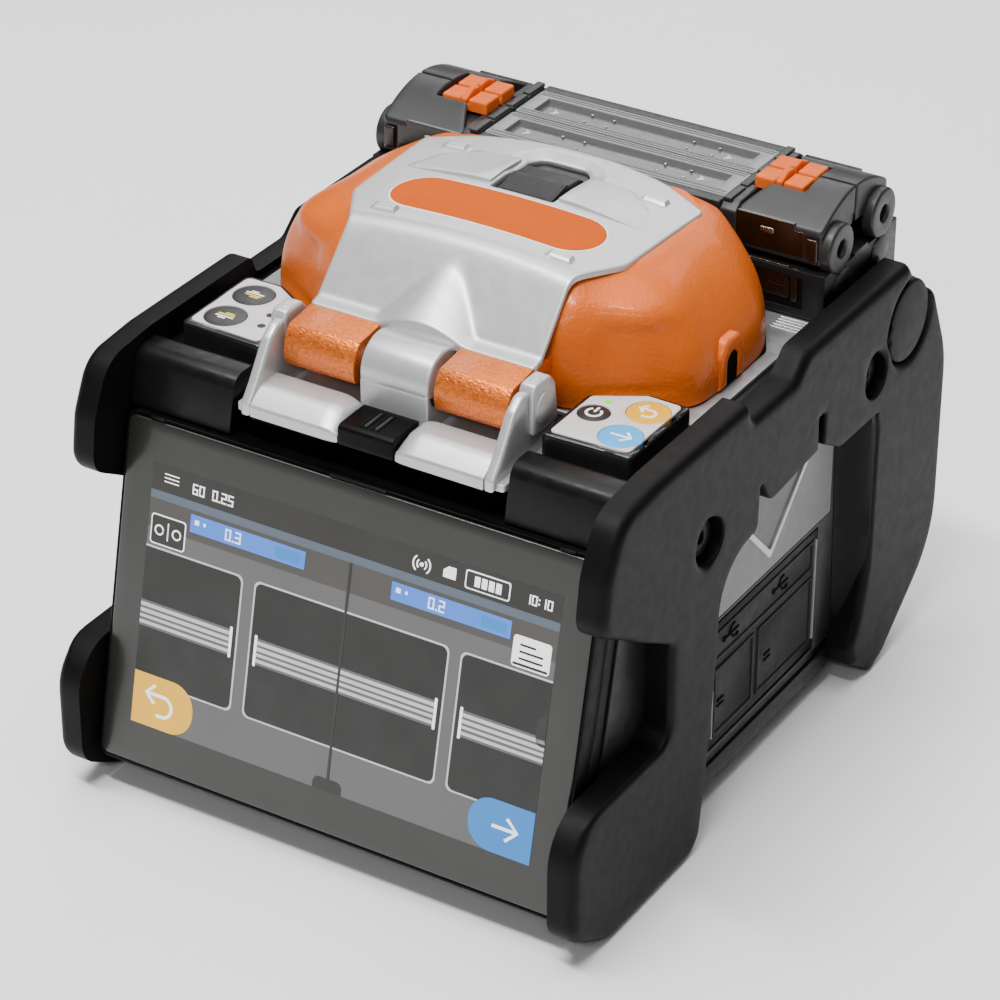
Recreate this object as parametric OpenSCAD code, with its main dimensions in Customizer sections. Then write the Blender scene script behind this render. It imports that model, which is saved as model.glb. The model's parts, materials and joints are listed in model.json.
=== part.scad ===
// Fiber fusion splicer, closed and ready for use.
// Millimetres, +Z up, front (screen) towards -Y, origin on the floor at the centre of the footprint.

/* [Case] */
// Width of the case between the two side protectors
body_w = 126; // [125.6:0.1:127]
// Thickness of each rubber side protector
protector_t = 7; // [6:0.5:9]
// Height of the underside of the base above the floor
base_z = 5.7; // [5:0.1:6.5]
// Height of the flat top of the case, where the keypads and the deck sit
deck_z = 102.2; // [102.1:0.1:102.4]

/* [Monitor] */
// Backward tilt of the monitor from vertical
tilt = 12.4; // [12:0.1:13]
// Width of the touch glass
glass_w = 123.4; // [120:0.2:123.6]
// Height of the touch glass along its slope
glass_h = 84; // [80:0.5:84.5]

/* [Hood] */
// Distance of the hood hinge axis in front of the centre
hinge_y = -43; // [-43.2:0.1:-42.8]
// Height of the hood hinge axis
hinge_z = 110.5; // [110.3:0.1:110.8]
// Radius of the hinge barrels
barrel_r = 7.6; // [7.4:0.1:7.7]
// Wall thickness of the hood
hood_wall = 2.4; // [2:0.2:2.6]

/* [Splice line] */
// Height of the fiber above the floor
fiber_z = 109; // [108.8:0.1:109.2]
// Distance between the two electrode tips
arc_gap = 2; // [1.6:0.1:2.4]

/* [Heater] */
// Depth position of the line where the two heater lids meet
heater_mid = 53.8; // [53.6:0.1:54]
// Height of the heater lid hinges
lid_axis_z = 125.6; // [125.4:0.1:125.8]

/* [Keys] */
// Diameter of the round keys
key_d = 10; // [9:0.5:10.5]
// Travel of a key from rest to its stop
key_travel = 0.5; // [0.4:0.1:0.7]

/* [Hidden] */

$fn = 48;
eps = 0.01;

half_w = body_w / 2;
side_x = half_w + protector_t;
wall = 2.5;
base_top = 14;

// Monitor plane: v runs up the glass, w out of it
glass_foot = [0, -83.3, 9.9];
monitor_t = 10.4;
glass_t = 1.1;
bezel_edge = 1;
function glass_y(z) = glass_foot[1] + (z - glass_foot[2]) * tan(tilt);
function behind_monitor(z) = glass_y(z) + (monitor_t + 0.25) / cos(tilt);

// Case profile
case_rear = 72;
shoulder_y = -62.8;
shoulder_z = 92.8;
shoulder_top = 106;

// Bracket that carries the hood
pin_r = 2;
run_gap = 0.05;
bracket_floor = 98.9;
knuckle_half = 8.9;
knuckle_in = 10.4;
knuckle_out = 29.2;
lug_in = 30.3;
lug_out = 34.2;

// Hood
hood_z = 104;
crown_z = 131.6;
plate_t = 1.2;
arch_w = 12;
nose_half = 29.3;

// Keypads
pad_z = 108.4;
film_t = 0.5;
key_gap = 0.1;
flange_t = 1.2;
flange_w = 0.6;

// Heater
heater_x = 62;
lid_x = 33;
clamp_x = 34.6;
hinge_in = 17;
front_axis = heater_mid - hinge_in;
rear_axis = heater_mid + hinge_in;
lid_top = 127.2;

// ---------- shared helpers ----------

function unit(v) = v / norm(v);
function turn(v, a) = [v[0] * cos(a) - v[1] * sin(a), v[0] * sin(a) + v[1] * cos(a)];

// Points of one rounded corner; the third value of p is its radius
function corner(a, p, b, steps) =
    let (q = [p[0], p[1]],
         to_a = unit([a[0], a[1]] - q),
         to_b = unit([b[0], b[1]] - q),
         half = acos(to_a * to_b) / 2,
         centre = q + unit(to_a + to_b) * p[2] / sin(half),
         start = q + to_a * p[2] / tan(half) - centre,
         side = sign(to_a[0] * to_b[1] - to_a[1] * to_b[0]),
         swing = -side * (180 - 2 * half))
    p[2] == 0 ? [q] : [for (i = [0:steps]) centre + turn(start, swing * i / steps)];

// Outline with rounded corners from a list of [x, y, radius]
function rounded(pts, steps = 5) =
    let (n = len(pts))
    [for (k = [0:n - 1]) each corner(pts[(k + n - 1) % n], pts[k], pts[(k + 1) % n], steps)];

// The same outline continued as its mirror image about x = 0
function mirrored(pts) = concat(pts, [for (k = [len(pts) - 1:-1:0]) [-pts[k][0], pts[k][1], pts[k][2]]]);

module both_sides() {
    children();
    mirror([1, 0, 0]) children();
}

// Extrude a YZ outline along X
module along_x(x0, x1) {
    translate([x0, 0, 0]) rotate([90, 0, 90]) linear_extrude(x1 - x0) children();
}

module rod_x(x0, x1, y, z, r) {
    translate([x0, y, z]) rotate([0, 90, 0]) cylinder(h = x1 - x0, r = r);
}

module rod_y(x, y0, y1, z, r) {
    translate([x, y1, z]) rotate([90, 0, 0]) cylinder(h = y1 - y0, r = r);
}

// Box from its lowest corner to its highest corner
module span(lo, hi) {
    translate(lo) cube(hi - lo);
}

// Children drawn on the monitor: x across, y up the glass, z out of it
module on_monitor() {
    translate(glass_foot) rotate([90 - tilt, 0, 0]) children();
}

module round_rect(w, h, r) {
    polygon(rounded([[-w / 2, 0, r], [w / 2, 0, r], [w / 2, h, r], [-w / 2, h, r]]));
}

// ---------- case ----------

module base_tray() {
    front = -71;
    screw_x = half_w - 8;
    color("dimgray") difference() {
        union() {
            span([-half_w, front, base_z], [half_w, case_rear, base_top - 3]);
            span([-half_w + 0.8, front + 0.8, base_top - 3 - eps], [half_w - 0.8, case_rear - 0.8, base_top]);
        }
        difference() {
            span([-half_w + wall + 1, front + wall + 1, base_z + wall],
                 [half_w - wall - 1, case_rear - wall - 1, base_top + 1]);
            translate([0, 0, base_z]) cylinder(h = 8, r = 9);
            for (x = [-screw_x, screw_x], y = [-60, 60])
                translate([x, y, base_z]) cylinder(h = 8, r = 4);
        }
        translate([0, 0, base_z - 1]) cylinder(h = 12, r = 5.5);
        for (x = [-screw_x, screw_x], y = [-60, 60])
            translate([x, y, base_z - 1]) cylinder(h = 12, r = 1.7);
        for (x = [-screw_x, screw_x], y = [-60, 60])
            translate([x, y, base_z - 1]) cylinder(h = 3, r = 3.4);
    }
}

module tripod_bush() {
    color("gold") difference() {
        translate([0, 0, base_z]) cylinder(h = 7.5, r = 5.48);
        translate([0, 0, base_z - 1]) cylinder(h = 10, r = 2.55);
    }
}

module case_screws() {
    screw_x = half_w - 8;
    color("silver") for (x = [-screw_x, screw_x], y = [-60, 60]) {
        translate([x, y, base_z + 0.6]) cylinder(h = 1.35, r = 3);
        translate([x, y, base_z + 1.9]) cylinder(h = 6, r = 1.5);
    }
}

module case_profile() {
    crest_y = shoulder_y + (shoulder_top - shoulder_z) * tan(tilt);
    polygon(rounded([
        [behind_monitor(base_top), base_top, 0],
        [behind_monitor(shoulder_z), shoulder_z, 0],
        [shoulder_y, shoulder_z, 0],
        [crest_y, shoulder_top, 4],
        [-51.5, shoulder_top, 2.5],
        [-51, deck_z, 0],
        [case_rear, deck_z, 5],
        [case_rear, base_top, 0]], 8));
}

module case_cavity() {
    slope = wall / cos(tilt);
    polygon([
        [behind_monitor(base_top - 1) + slope, base_top - 1],
        [behind_monitor(shoulder_z - 3) + slope, shoulder_z - 3],
        [-36, shoulder_z + 3],
        [-30, deck_z - wall],
        [case_rear - wall, deck_z - wall],
        [case_rear - wall, base_top - 1]]);
}

module main_case() {
    color([0.13, 0.13, 0.14]) difference() {
        along_x(-half_w, half_w) case_profile();
        along_x(-half_w + wall, half_w - wall) case_cavity();
        // seat of the hinge bracket
        span([-36, shoulder_y - 1, bracket_floor], [36, -33.2, shoulder_top + 1]);
        // dark recess below the front of the bracket
        span([-36, shoulder_y - 1, shoulder_z], [36, -51, bracket_floor + eps]);
        // splice well and heater cable way
        span([-49, -21, deck_z - wall - 1], [49, 27, deck_z + 1]);
        span([-20, 44, deck_z - wall - 1], [20, 62, deck_z + 1]);
        // pockets of the side panels
        both_sides() span([half_w - 0.8, -42, 50.4], [half_w + 1, 42, 97]);
        // connector bay behind the door, open to the right
        span([half_w - wall - 1, -17, 15], [half_w + 1, 36, 49.4]);
        // rear openings: fan grille slots, power inlet, battery bay, latch
        for (k = [-3:3]) {
            reach = sqrt(pow(17.5, 2) - pow(5 * k, 2));
            span([-32 - reach, case_rear - wall - 1, 71 + 5 * k], [-32 + reach, case_rear + 1, 73.6 + 5 * k]);
        }
        rod_y(40, case_rear - wall - 1, case_rear + 1, 62, 5.6);
        span([-48.3, case_rear - wall - 1, 15.7], [48.3, case_rear + 1, 38.3]);
        span([-7, case_rear - wall - 1, 41], [7, case_rear + 1, 47.4]);
    }
}

module side_panel(s) {
    // flat panel with a raised V ridge pointing down
    color([0.5, 0.51, 0.52]) {
        mirror([s < 0 ? 1 : 0, 0, 0]) {
            span([half_w - 0.75, -41.9, 50.5], [half_w, 41.9, 96.9]);
            along_x(half_w - eps, half_w + 0.5)
                polygon([[-7.6, 72.4], [10.3, 54.1], [28.6, 72.4], [26.6, 72.4], [10.3, 56.2], [-5.6, 72.4]]);
        }
    }
}

module side_panel_left() side_panel(-1);

module side_panel_right() side_panel(1);

module deck_plate() {
    top = deck_z + 1.2;
    outline = mirrored([
        [35.6, -30.6, 0], [35.9, -29.2, 0], [48.3, -20.9, 0], [60.2, -20.9, 1], [60.2, 35.2, 1]]);
    color([0.72, 0.72, 0.73]) difference() {
        union() {
            translate([0, 0, deck_z]) linear_extrude(1.2) polygon(rounded(outline));
            span([-48.5, -20.5, 95.5], [48.5, 26.5, deck_z + eps]);
        }
        // splicing well, with a window in its floor for the microscopes
        span([-46.5, -18.5, 97], [46.5, 24.5, top + 1]);
        span([-8, -21, 94], [8, 21, 98]);
        // shallow ribs behind the hood
        both_sides() for (k = [0:4])
            span([51.5, 28.4 + 1.3 * k, top - 0.5], [59.4, 29 + 1.3 * k, top + 1]);
    }
}

module protector_outline() {
    polygon(rounded([
        // front foot and lower lobe
        [-31.5, 0, 6], [-73, 0, 14], [-88.5, 9, 8], [-88.5, 38.5, 12], [-47, 38.5, 5],
        // upper lobe and top edge with its dip
        [-47, 64, 3], [-78.3, 82.5, 6], [-76.5, 95, 12], [-70.5, 107.5, 10], [-54, 109, 8],
        [-14.5, 109, 2], [-12.5, 104, 2],
        [7, 104, 4], [13, 109, 4], [64, 109, 3], [72, 98, 4], [79.5, 95.5, 5],
        // rear leg
        [88.5, 75, 30], [88.5, 22, 26], [61, 0, 9], [54, 0, 4], [45.6, 6.5, 1.5], [45.4, 14, 2],
        // window between the legs, with its two hooks
        [42.2, 75.4, 1.5], [30.7, 75.6, 3],
        [22.5, 80.5, 0.8], [22.8, 88.7, 0.8], [19.4, 88.7, 0.8], [19.6, 80.4, 0.8],
        [-3.5, 78.5, 4], [-8.5, 86.5, 0.6], [-9, 73.5, 2.5], [-25.5, 75, 14], [-26.5, 50, 4]]));
}

// The front of the rear leg slopes from the case up to the outer face
module rear_leg_slope() {
    translate([0, 0, -1]) linear_extrude(76.3)
        polygon([[half_w + 0.2, 30], [half_w + 0.2, 42.8], [side_x + 0.2, 50.4], [side_x + 0.2, 30]]);
}

module protector(s) {
    color([0.1, 0.1, 0.1]) mirror([s < 0 ? 1 : 0, 0, 0]) difference() {
        along_x(half_w, side_x) protector_outline();
        rear_leg_slope();
        for (hole = [[-31, 82.5], [48.5, 86]]) {
            rod_x(half_w - 1, side_x + 1, hole[0], hole[1], 2.6);
            rod_x(half_w + 1.5, side_x + 1, hole[0], hole[1], 5.5);
        }
        // ring groove of the strap boss
        difference() {
            rod_x(side_x - 0.5, side_x + 1, 65.5, 93, 10.5);
            rod_x(side_x - 1, side_x + 2, 65.5, 93, 9.9);
        }
    }
}

module protector_left() protector(-1);

module protector_right() protector(1);

module protector_screws() {
    color("silver") both_sides() for (hole = [[-31, 82.5], [48.5, 86]])
        difference() {
            rod_x(half_w + 1.52, half_w + 4.2, hole[0], hole[1], 4.4);
            rod_x(half_w + 2.6, half_w + 5, hole[0], hole[1], 1.5);
        }
}

// ---------- connector bay ----------

module port_panel() {
    color([0.16, 0.16, 0.17]) difference() {
        span([half_w - 9, -18.5, 15.5], [half_w - 3.6, 37.5, 49]);
        // two connector mouths and a card slot
        span([half_w - 8, -9, 22], [half_w - 3, -1, 25.4]);
        span([half_w - 8, 5, 22], [half_w - 3, 18.5, 27.2]);
        span([half_w - 8, -4, 38], [half_w - 3, 21, 40.6]);
    }
}

module port_door() {
    axis_x = half_w - 0.9;
    axis_z = 16.1;
    y0 = -16.6;
    y1 = 35.6;
    color([0.12, 0.12, 0.13]) difference() {
        union() {
            rod_y(axis_x, y0, y1, axis_z, 0.9);
            span([half_w - 1.8, y0, axis_z], [half_w, y1, 49.1]);
            span([half_w - eps, -14.6, 18.4], [half_w + 0.4, 4.4, 37]);
            span([half_w - eps, 6.4, 18.4], [half_w + 0.4, 33.4, 37]);
            span([half_w - eps, -14.6, 39], [half_w + 0.4, 33.4, 47]);
        }
        span([half_w, -13.8, 19.2], [half_w + 1, 3.6, 36.2]);
        span([half_w, 7.2, 19.2], [half_w + 1, 32.6, 36.2]);
        span([half_w, -13.8, 39.8], [half_w + 1, 32.6, 46.2]);
    }
}

// ---------- monitor ----------

module monitor_back() {
    color([0.12, 0.12, 0.13]) on_monitor() difference() {
        translate([0, -bezel_edge, -monitor_t]) linear_extrude(4.4)
            round_rect(glass_w + 1.6, glass_h + 2 * bezel_edge, 2.5);
        translate([-55, 6, -monitor_t + 1.6]) cube([110, 72, 5]);
        for (x = [-40:10:40]) translate([x - 1, 30, -monitor_t - 1]) cube([2, 24, 4]);
    }
}

module monitor_bezel() {
    color([0.1, 0.1, 0.11]) on_monitor() {
        difference() {
            translate([0, -bezel_edge, -6]) linear_extrude(5.6)
                round_rect(glass_w + 1.6, glass_h + 2 * bezel_edge, 2.5);
            translate([0, -0.05, -glass_t]) linear_extrude(3)
                round_rect(glass_w + 0.1, glass_h + 0.1, 2);
            translate([-57.05, 6.95, -7]) cube([114.1, 71.1, 8]);
        }
        // small clips along the top edge
        for (clip = [[-54, 4], [0, 15], [53.5, 4]])
            translate([clip[0] - clip[1] / 2, glass_h + 0.3, -0.5]) cube([clip[1], 0.7, 0.7]);
    }
}

module lcd_panel() {
    color([0.3, 0.34, 0.4]) on_monitor() translate([-57, 7, -5.2]) cube([114, 71, 4.05]);
}

module touch_glass() {
    color([0.08, 0.08, 0.09]) on_monitor() translate([0, 0, -glass_t]) linear_extrude(glass_t)
        round_rect(glass_w, glass_h, 2);
}

// ---------- hood hinge ----------

module barrel_section(r) {
    translate([hinge_y, hinge_z]) circle(r = r);
}

module hinge_bracket() {
    foot_front = -62.3;
    foot_top = 105;
    pad_rear = -50.6;
    color([0.78, 0.78, 0.79]) difference() {
        union() {
            span([-35, shoulder_y + 0.5, bracket_floor], [35, -34, bracket_floor + 2]);
            // two sloping foot pads
            both_sides() along_x(7.6, lug_in + eps) polygon(rounded([
                [foot_front, bracket_floor, 0], [foot_front, 101.4, 1], [-56.5, foot_top, 3],
                [pad_rear, foot_top, 1.5], [pad_rear, bracket_floor, 0]]));
            // end lugs with their forward flanks
            both_sides() along_x(lug_in, lug_out) {
                barrel_section(barrel_r);
                polygon(rounded([
                    [foot_front, bracket_floor, 0], [foot_front, 102.4, 1], [-52.6, 113.4, 4],
                    [-44.5, 118, 2], [hinge_y, hinge_z, 0], [-35.4, hinge_z, 0],
                    [-35.4, bracket_floor, 0]]));
            }
            // caps over the ends of the pin
            both_sides() rod_x(lug_out - eps, lug_out + 0.8, hinge_y, hinge_z, 3.4);
            // centre knuckle
            along_x(-knuckle_half, knuckle_half) {
                barrel_section(barrel_r);
                translate([hinge_y - barrel_r, bracket_floor + 1])
                    square([12, hinge_z - bracket_floor - 1]);
            }
        }
        rod_x(-lug_out + 0.5, lug_out - 0.5, hinge_y, hinge_z, pin_r + 0.02);
        span([-7.5, foot_front - 1, bracket_floor - 1], [7.5, hinge_y - barrel_r - 0.4, 106]);
    }
}

module bracket_insert() {
    color([0.12, 0.12, 0.13]) difference() {
        span([-7.3, -62.1, bracket_floor], [7.3, hinge_y - barrel_r - 0.6, 103.8]);
        for (x = [-1.5, 1.2]) span([x, -60, 103], [x + 0.6, -53, 105]);
    }
}

module hood_hinge_pin() {
    color("silver") rod_x(-lug_out + 0.6, lug_out - 0.6, hinge_y, hinge_z, pin_r);
}

// ---------- hood ----------

// Level outline of the hood at height z, drawn in by d
module hood_level(z, pts) {
    translate([0, 0, z]) linear_extrude(0.2) polygon(rounded(mirrored(pts), 3));
}

// Closed form of the dome, drawn in by d on every side
module dome_form(d) {
    hull() {
        hood_level(hood_z, [
            [30, -30.4 + d, 0], [36.4 - d, -28 + d, 2], [48.4 - d, -20.4 + d, 3],
            [56.3 - d, -13 + d, 5], [57 - d, 17, 3], [51 - d, 28 - d, 7], [40, 30 - d, 3]]);
        hood_level(113, [
            [30, -33 + d, 0], [38 - d, -27 + d, 3], [48.4 - d, -20 + d, 5],
            [56 - d, -12.5 + d, 7], [56.6 - d, 17, 4], [50 - d, 28.5 - d, 8], [40, 30 - d, 3]]);
        hood_level(122.5 - d * 0.4, [
            [29.5, -31.4 + d, 0], [46 - d, -22 + d, 8], [53 - d, -12 + d, 9], [53 - d, 16, 6],
            [46 - d, 28 - d, 8], [36, 30 - d, 2]]);
        hood_level(128.8 - d * 0.8, [
            [29 - d, -25.2 + d, 2], [42 - d, -17 + d, 9], [46 - d, -9 + d, 9], [46 - d, 15, 6],
            [39 - d, 28 - d, 8]]);
        hood_level(crown_z - d, [
            [28.8 - d, -21.4 + d, 2], [36 - d, -10 + d, 8], [37 - d, 16, 8], [34 - d, 28 - d, 6]]);
    }
    // nose that runs down to the hinge
    along_x(-nose_half + d, nose_half - d) polygon([
        [-38 + d, 116 - d], [-38 + d, 116.6 - d], [-21.4 + d, crown_z - d - 0.2], [-18, crown_z - d - 0.2],
        [-18, 110], [-30.4 + d, 110]]);
}

// Profile of the webs that join the hood to its barrels
module hinge_web() {
    polygon([[hinge_y, hinge_z + barrel_r], [-38.4, 118], [-35, 117.5], [-28.5, 116], [-28.5, 108],
        [-33, 106], [hinge_y + 3, hinge_z - 6.6]]);
}

module hood_shell() {
    color([0.9, 0.4, 0.1]) difference() {
        union() {
            difference() {
                dome_form(0);
                translate([0, 0, -1]) dome_form(hood_wall);
            }
            // barrels on the pin, with the webs that carry the hood
            both_sides() along_x(knuckle_in, knuckle_out) {
                barrel_section(barrel_r);
                hinge_web();
            }
            // raised arches over the fiber slots
            both_sides() span([54, -arch_w / 2 - 2, hood_z], [57.6, arch_w / 2 + 2, 116]);
        }
        rod_x(-knuckle_out - 1, knuckle_out + 1, hinge_y, hinge_z, pin_r + run_gap);
        // room for the centre knuckle and the end lugs
        rod_x(-knuckle_in, knuckle_in, hinge_y, hinge_z, barrel_r + 0.5);
        both_sides() rod_x(knuckle_out, lug_out + 2, hinge_y, hinge_z, barrel_r + 0.5);
        // fiber slots, closed at the top by a half round
        both_sides() {
            span([50, -2.6, hood_z - 1], [59, 2.6, 110]);
            rod_x(50, 59, 0, 110, 2.6);
        }
    }
}

// Crowned skin that the silver plate is cut from, lifted by d
module plate_form(d) {
    hull() {
        along_x(-36, 36) translate([-39.6 - d, 117.3 + d]) square([1, 0.3]);
        along_x(-42, 42) translate([-23 - d * 0.4, 132.6 + d]) square([50, 0.3]);
        along_x(-26, 26) translate([-20.5 - d * 0.4, 133.8 + d]) square([46, 0.3]);
        along_x(-12, 12) translate([-18 - d * 0.4, 134.4 + d]) square([40, 0.3]);
        translate([-42, -30, 124]) cube([84, 60.4, 1]);
        translate([-36, -36, 116]) cube([72, 60, 1]);
    }
}

module plate_outline() {
    polygon(rounded(mirrored([
        [29.4, -39.6, 1], [29, -22.9, 5], [36.1, -11, 6], [37.3, 21.4, 2], [22, 28, 25]])));
}

// Fairing that swells out of the front slope above the centre knuckle
module knuckle_fairing() {
    slope = 42.7;
    half = 10.2;
    rise = 2.8;
    translate([0, -39.5, 117.5]) rotate([slope, 0, 0]) hull() {
        rotate([90, 0, 0]) linear_extrude(0.1) polygon(concat(
            [[-half, -0.6]],
            [for (x = [-half:half / 6:half]) [x, rise * (1 - pow(x / half, 2))]],
            [[half, -0.6]]));
        translate([-0.4, 18.4, -0.6]) cube([0.8, 0.2, 0.6]);
    }
}

module hood_plate() {
    color([0.8, 0.8, 0.81]) difference() {
        union() {
            intersection() {
                plate_form(0);
                translate([0, 0, 112]) linear_extrude(40) plate_outline();
            }
            knuckle_fairing();
            for (bump = [[23, -17.7, 132.8], [26.6, 18.3, 133]])
                both_sides() translate([bump[0], bump[1], bump[2]])
                    span([-3.2, -1.7, -1], [3.2, 1.7, 1.9]);
        }
        dome_form(0);
        rod_x(-knuckle_in, knuckle_in, hinge_y, hinge_z, barrel_r + 0.5);
        // pocket of the latch
        translate([0, 0, 130]) linear_extrude(10) polygon(rounded([
            [-8, 3.4, 1], [8, 3.4, 1], [8, 26.5, 5.5], [-8, 26.5, 5.5]]));
        // the hinge webs stay clear
        both_sides() along_x(knuckle_in - 0.2, knuckle_out + 0.3) hinge_web();
    }
}

module hood_label() {
    color([0.92, 0.45, 0.12]) difference() {
        intersection() {
            plate_form(0.3);
            translate([0, -7, 126]) linear_extrude(20) polygon(rounded([
                [-27.3, -8.2, 8], [27.3, -8.2, 8], [27.3, 8.2, 8], [-27.3, 8.2, 8]]));
        }
        plate_form(0);
        translate([0, 0, 125]) linear_extrude(20) polygon([[-9, 2.8], [9, 2.8], [9, 30], [-9, 30]]);
    }
}

module hood_latch() {
    color([0.2, 0.2, 0.21]) difference() {
        along_x(-7.4, 7.4) polygon([
            [4, crown_z + 0.3], [4, 134.5], [13, 134.9], [18, 134], [20.4, 132.2],
            [20.4, crown_z + 0.3]]);
        for (k = [0:5]) span([-6.4, 5 + 1.3 * k, 134.55], [6.4, 5.5 + 1.3 * k, 136]);
    }
}

module hood_gasket() {
    color([0.08, 0.08, 0.08]) difference() {
        translate([0, 0, hood_z - 0.5]) linear_extrude(0.5) polygon(rounded(mirrored([
            [36.2, -27.8, 2], [48.2, -20.2, 3], [56.1, -12.8, 5], [56.8, 17, 3], [50.8, 27.8, 7],
            [39.8, 29.8, 3]]), 3));
        translate([0, 0, hood_z - 1]) linear_extrude(2) polygon(rounded(mirrored([
            [34.6, -25.8, 2], [46.4, -18.6, 3], [54.2, -11.8, 5], [54.9, 16.4, 3], [49.4, 26.4, 7],
            [38.4, 28, 3]]), 3));
        both_sides() span([50, -2.6, hood_z - 2], [59, 2.6, 110]);
    }
}

module hood_fiber_clamps() {
    // spring arms that press the bare fiber into the V-grooves
    color([0.75, 0.75, 0.76]) both_sides() {
        span([4, -1.6, fiber_z + 0.4], [8, 1.6, fiber_z + 3]);
        translate([6, 0, fiber_z + 2.9]) cylinder(h = crown_z - 1 - hood_wall - fiber_z - 2.92, r = 1.4);
    }
}

// ---------- keypads ----------

// Keypad outline on the right, grown by d; its inner rear corner clears the hood
module pad_outline(d) {
    polygon(rounded([
        [37.8 - d, -48 - d, 1], [57.8 + d, -47.2 - d, 1], [58 + d, -23 + d, 1],
        [48.8, -22.8 + d, 1], [37.8 - d, -29.4 + d * 0.4, 1]]));
}

// Hole for one key: a wide pocket for its flange below a round mouth
module key_pocket(x, y, d) {
    translate([x, y, pad_z - flange_t - key_travel - 0.7])
        cylinder(h = 10, r = d / 2 + flange_w + key_gap);
}

module key_mouth(x, y, d) {
    translate([x, y, pad_z - 2]) cylinder(h = 5, r = d / 2 + key_gap);
}

// One round key: cap, and the flange that the film holds down
module key_cap(x, y, d) {
    translate([x, y, pad_z - flange_t - 0.02]) cylinder(h = flange_t, r = d / 2 + flange_w);
    translate([x, y, pad_z - 0.1]) cylinder(h = film_t + 0.5, r = d / 2);
}

heat_pos = [-51.5, -29.8];
arc_pos = [-51.3, -41.4];
power_pos = [42.4, -35.8];
return_pos = [52.5, -29.5];
next_pos = [52.5, -41.6];
power_d = 7.4;

module keypad_right() {
    color([0.1, 0.1, 0.11]) difference() {
        translate([0, 0, deck_z]) linear_extrude(pad_z - deck_z) pad_outline(0.7);
        key_pocket(power_pos[0], power_pos[1], power_d);
        key_pocket(return_pos[0], return_pos[1], key_d);
        key_pocket(next_pos[0], next_pos[1], key_d);
    }
}

module keypad_left() {
    color([0.1, 0.1, 0.11]) difference() {
        translate([0, 0, deck_z]) linear_extrude(pad_z - deck_z) mirror([1, 0]) pad_outline(0.7);
        key_pocket(heat_pos[0], heat_pos[1], key_d);
        key_pocket(arc_pos[0], arc_pos[1], key_d);
    }
}

module keypad_film_right() {
    color([0.82, 0.8, 0.8]) difference() {
        translate([0, 0, pad_z]) linear_extrude(film_t) pad_outline(0);
        key_mouth(power_pos[0], power_pos[1], power_d);
        key_mouth(return_pos[0], return_pos[1], key_d);
        key_mouth(next_pos[0], next_pos[1], key_d);
    }
}

module keypad_film_left() {
    color([0.82, 0.8, 0.8]) difference() {
        translate([0, 0, pad_z]) linear_extrude(film_t) mirror([1, 0]) pad_outline(0);
        key_mouth(heat_pos[0], heat_pos[1], key_d);
        key_mouth(arc_pos[0], arc_pos[1], key_d);
    }
}

module heat_key() color([0.1, 0.1, 0.1]) key_cap(heat_pos[0], heat_pos[1], key_d);

module arc_key() color([0.1, 0.1, 0.1]) key_cap(arc_pos[0], arc_pos[1], key_d);

module power_key() color([0.08, 0.08, 0.08]) key_cap(power_pos[0], power_pos[1], power_d);

module return_key() color([0.95, 0.75, 0.2]) key_cap(return_pos[0], return_pos[1], key_d);

module next_key() color([0.25, 0.65, 0.9]) key_cap(next_pos[0], next_pos[1], key_d);

// ---------- splicing unit, inside the well ----------

module splice_base() {
    color([0.55, 0.56, 0.58]) both_sides() difference() {
        span([9, -15, 97], [22.5, 15, 101]);
        for (y = [-11, 11]) translate([18, y, 96]) cylinder(h = 6, r = 1.3);
    }
}

module v_groove_blocks() {
    color([0.9, 0.9, 0.87]) both_sides() difference() {
        union() {
            span([9.2, -5, 101], [21, 5, 104.5]);
            span([3, -4, 104.5], [12, 4, fiber_z + 0.2]);
        }
        along_x(2, 13) polygon([
            [0, fiber_z - 0.2], [-0.7, fiber_z + 0.5], [0.7, fiber_z + 0.5]]);
    }
}

module electrode_holders() {
    color([0.25, 0.25, 0.27]) for (s = [-1, 1]) mirror([0, s < 0 ? 1 : 0, 0]) difference() {
        union() {
            span([-3.5, 8, 104], [3.5, 18, 112]);
            span([-12, 12.2, 101], [12, 15, 106]);
        }
        rod_y(0, 7, 19, fiber_z, 0.55);
    }
}

module electrodes() {
    tip = 2.5;
    color("silver") for (s = [-1, 1]) mirror([0, s < 0 ? 1 : 0, 0]) {
        translate([0, arc_gap / 2 + tip, fiber_z]) rotate([90, 0, 0]) cylinder(h = tip, r1 = 0.5, r2 = 0.1);
        rod_y(0, arc_gap / 2 + tip - eps, 18.5, fiber_z, 0.5);
    }
}

// Children along the two microscope axes, 45 degrees below the fiber
module microscope_axes() {
    for (s = [-1, 1]) translate([0, 0, fiber_z]) rotate([s * 135, 0, 0]) children();
}

module objective_lenses() {
    color("goldenrod") microscope_axes() {
        translate([0, 0, 11.5]) cylinder(h = 3, r = 2.3);
        translate([0, 0, 14.5 - eps]) cylinder(h = 5.5, r = 3);
    }
}

module microscope_tubes() {
    color([0.2, 0.2, 0.22]) microscope_axes() {
        translate([0, 0, 20]) cylinder(h = 18, r = 4.2);
        translate([-9, -9, 38 - eps]) cube([18, 18, 3]);
    }
}

module alignment_motors() {
    color([0.6, 0.6, 0.62]) both_sides() {
        translate([28, 0, 74]) cylinder(h = 16, r = 6);
        translate([28, 0, 90 - eps]) cylinder(h = 5.4, r = 1.5);
        translate([20.5, -7.5, 71]) cube([15, 15, 3 + eps]);
    }
}

module led_lamps() {
    color([0.95, 0.95, 0.9]) both_sides() {
        translate([15.5, 12.5, 101]) cylinder(h = 4, r = 1.5);
        translate([15.5, -12.5, 101]) cylinder(h = 4, r = 1.5);
    }
}

clamp_axis_y = 9;
clamp_axis_z = 108.2;

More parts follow.
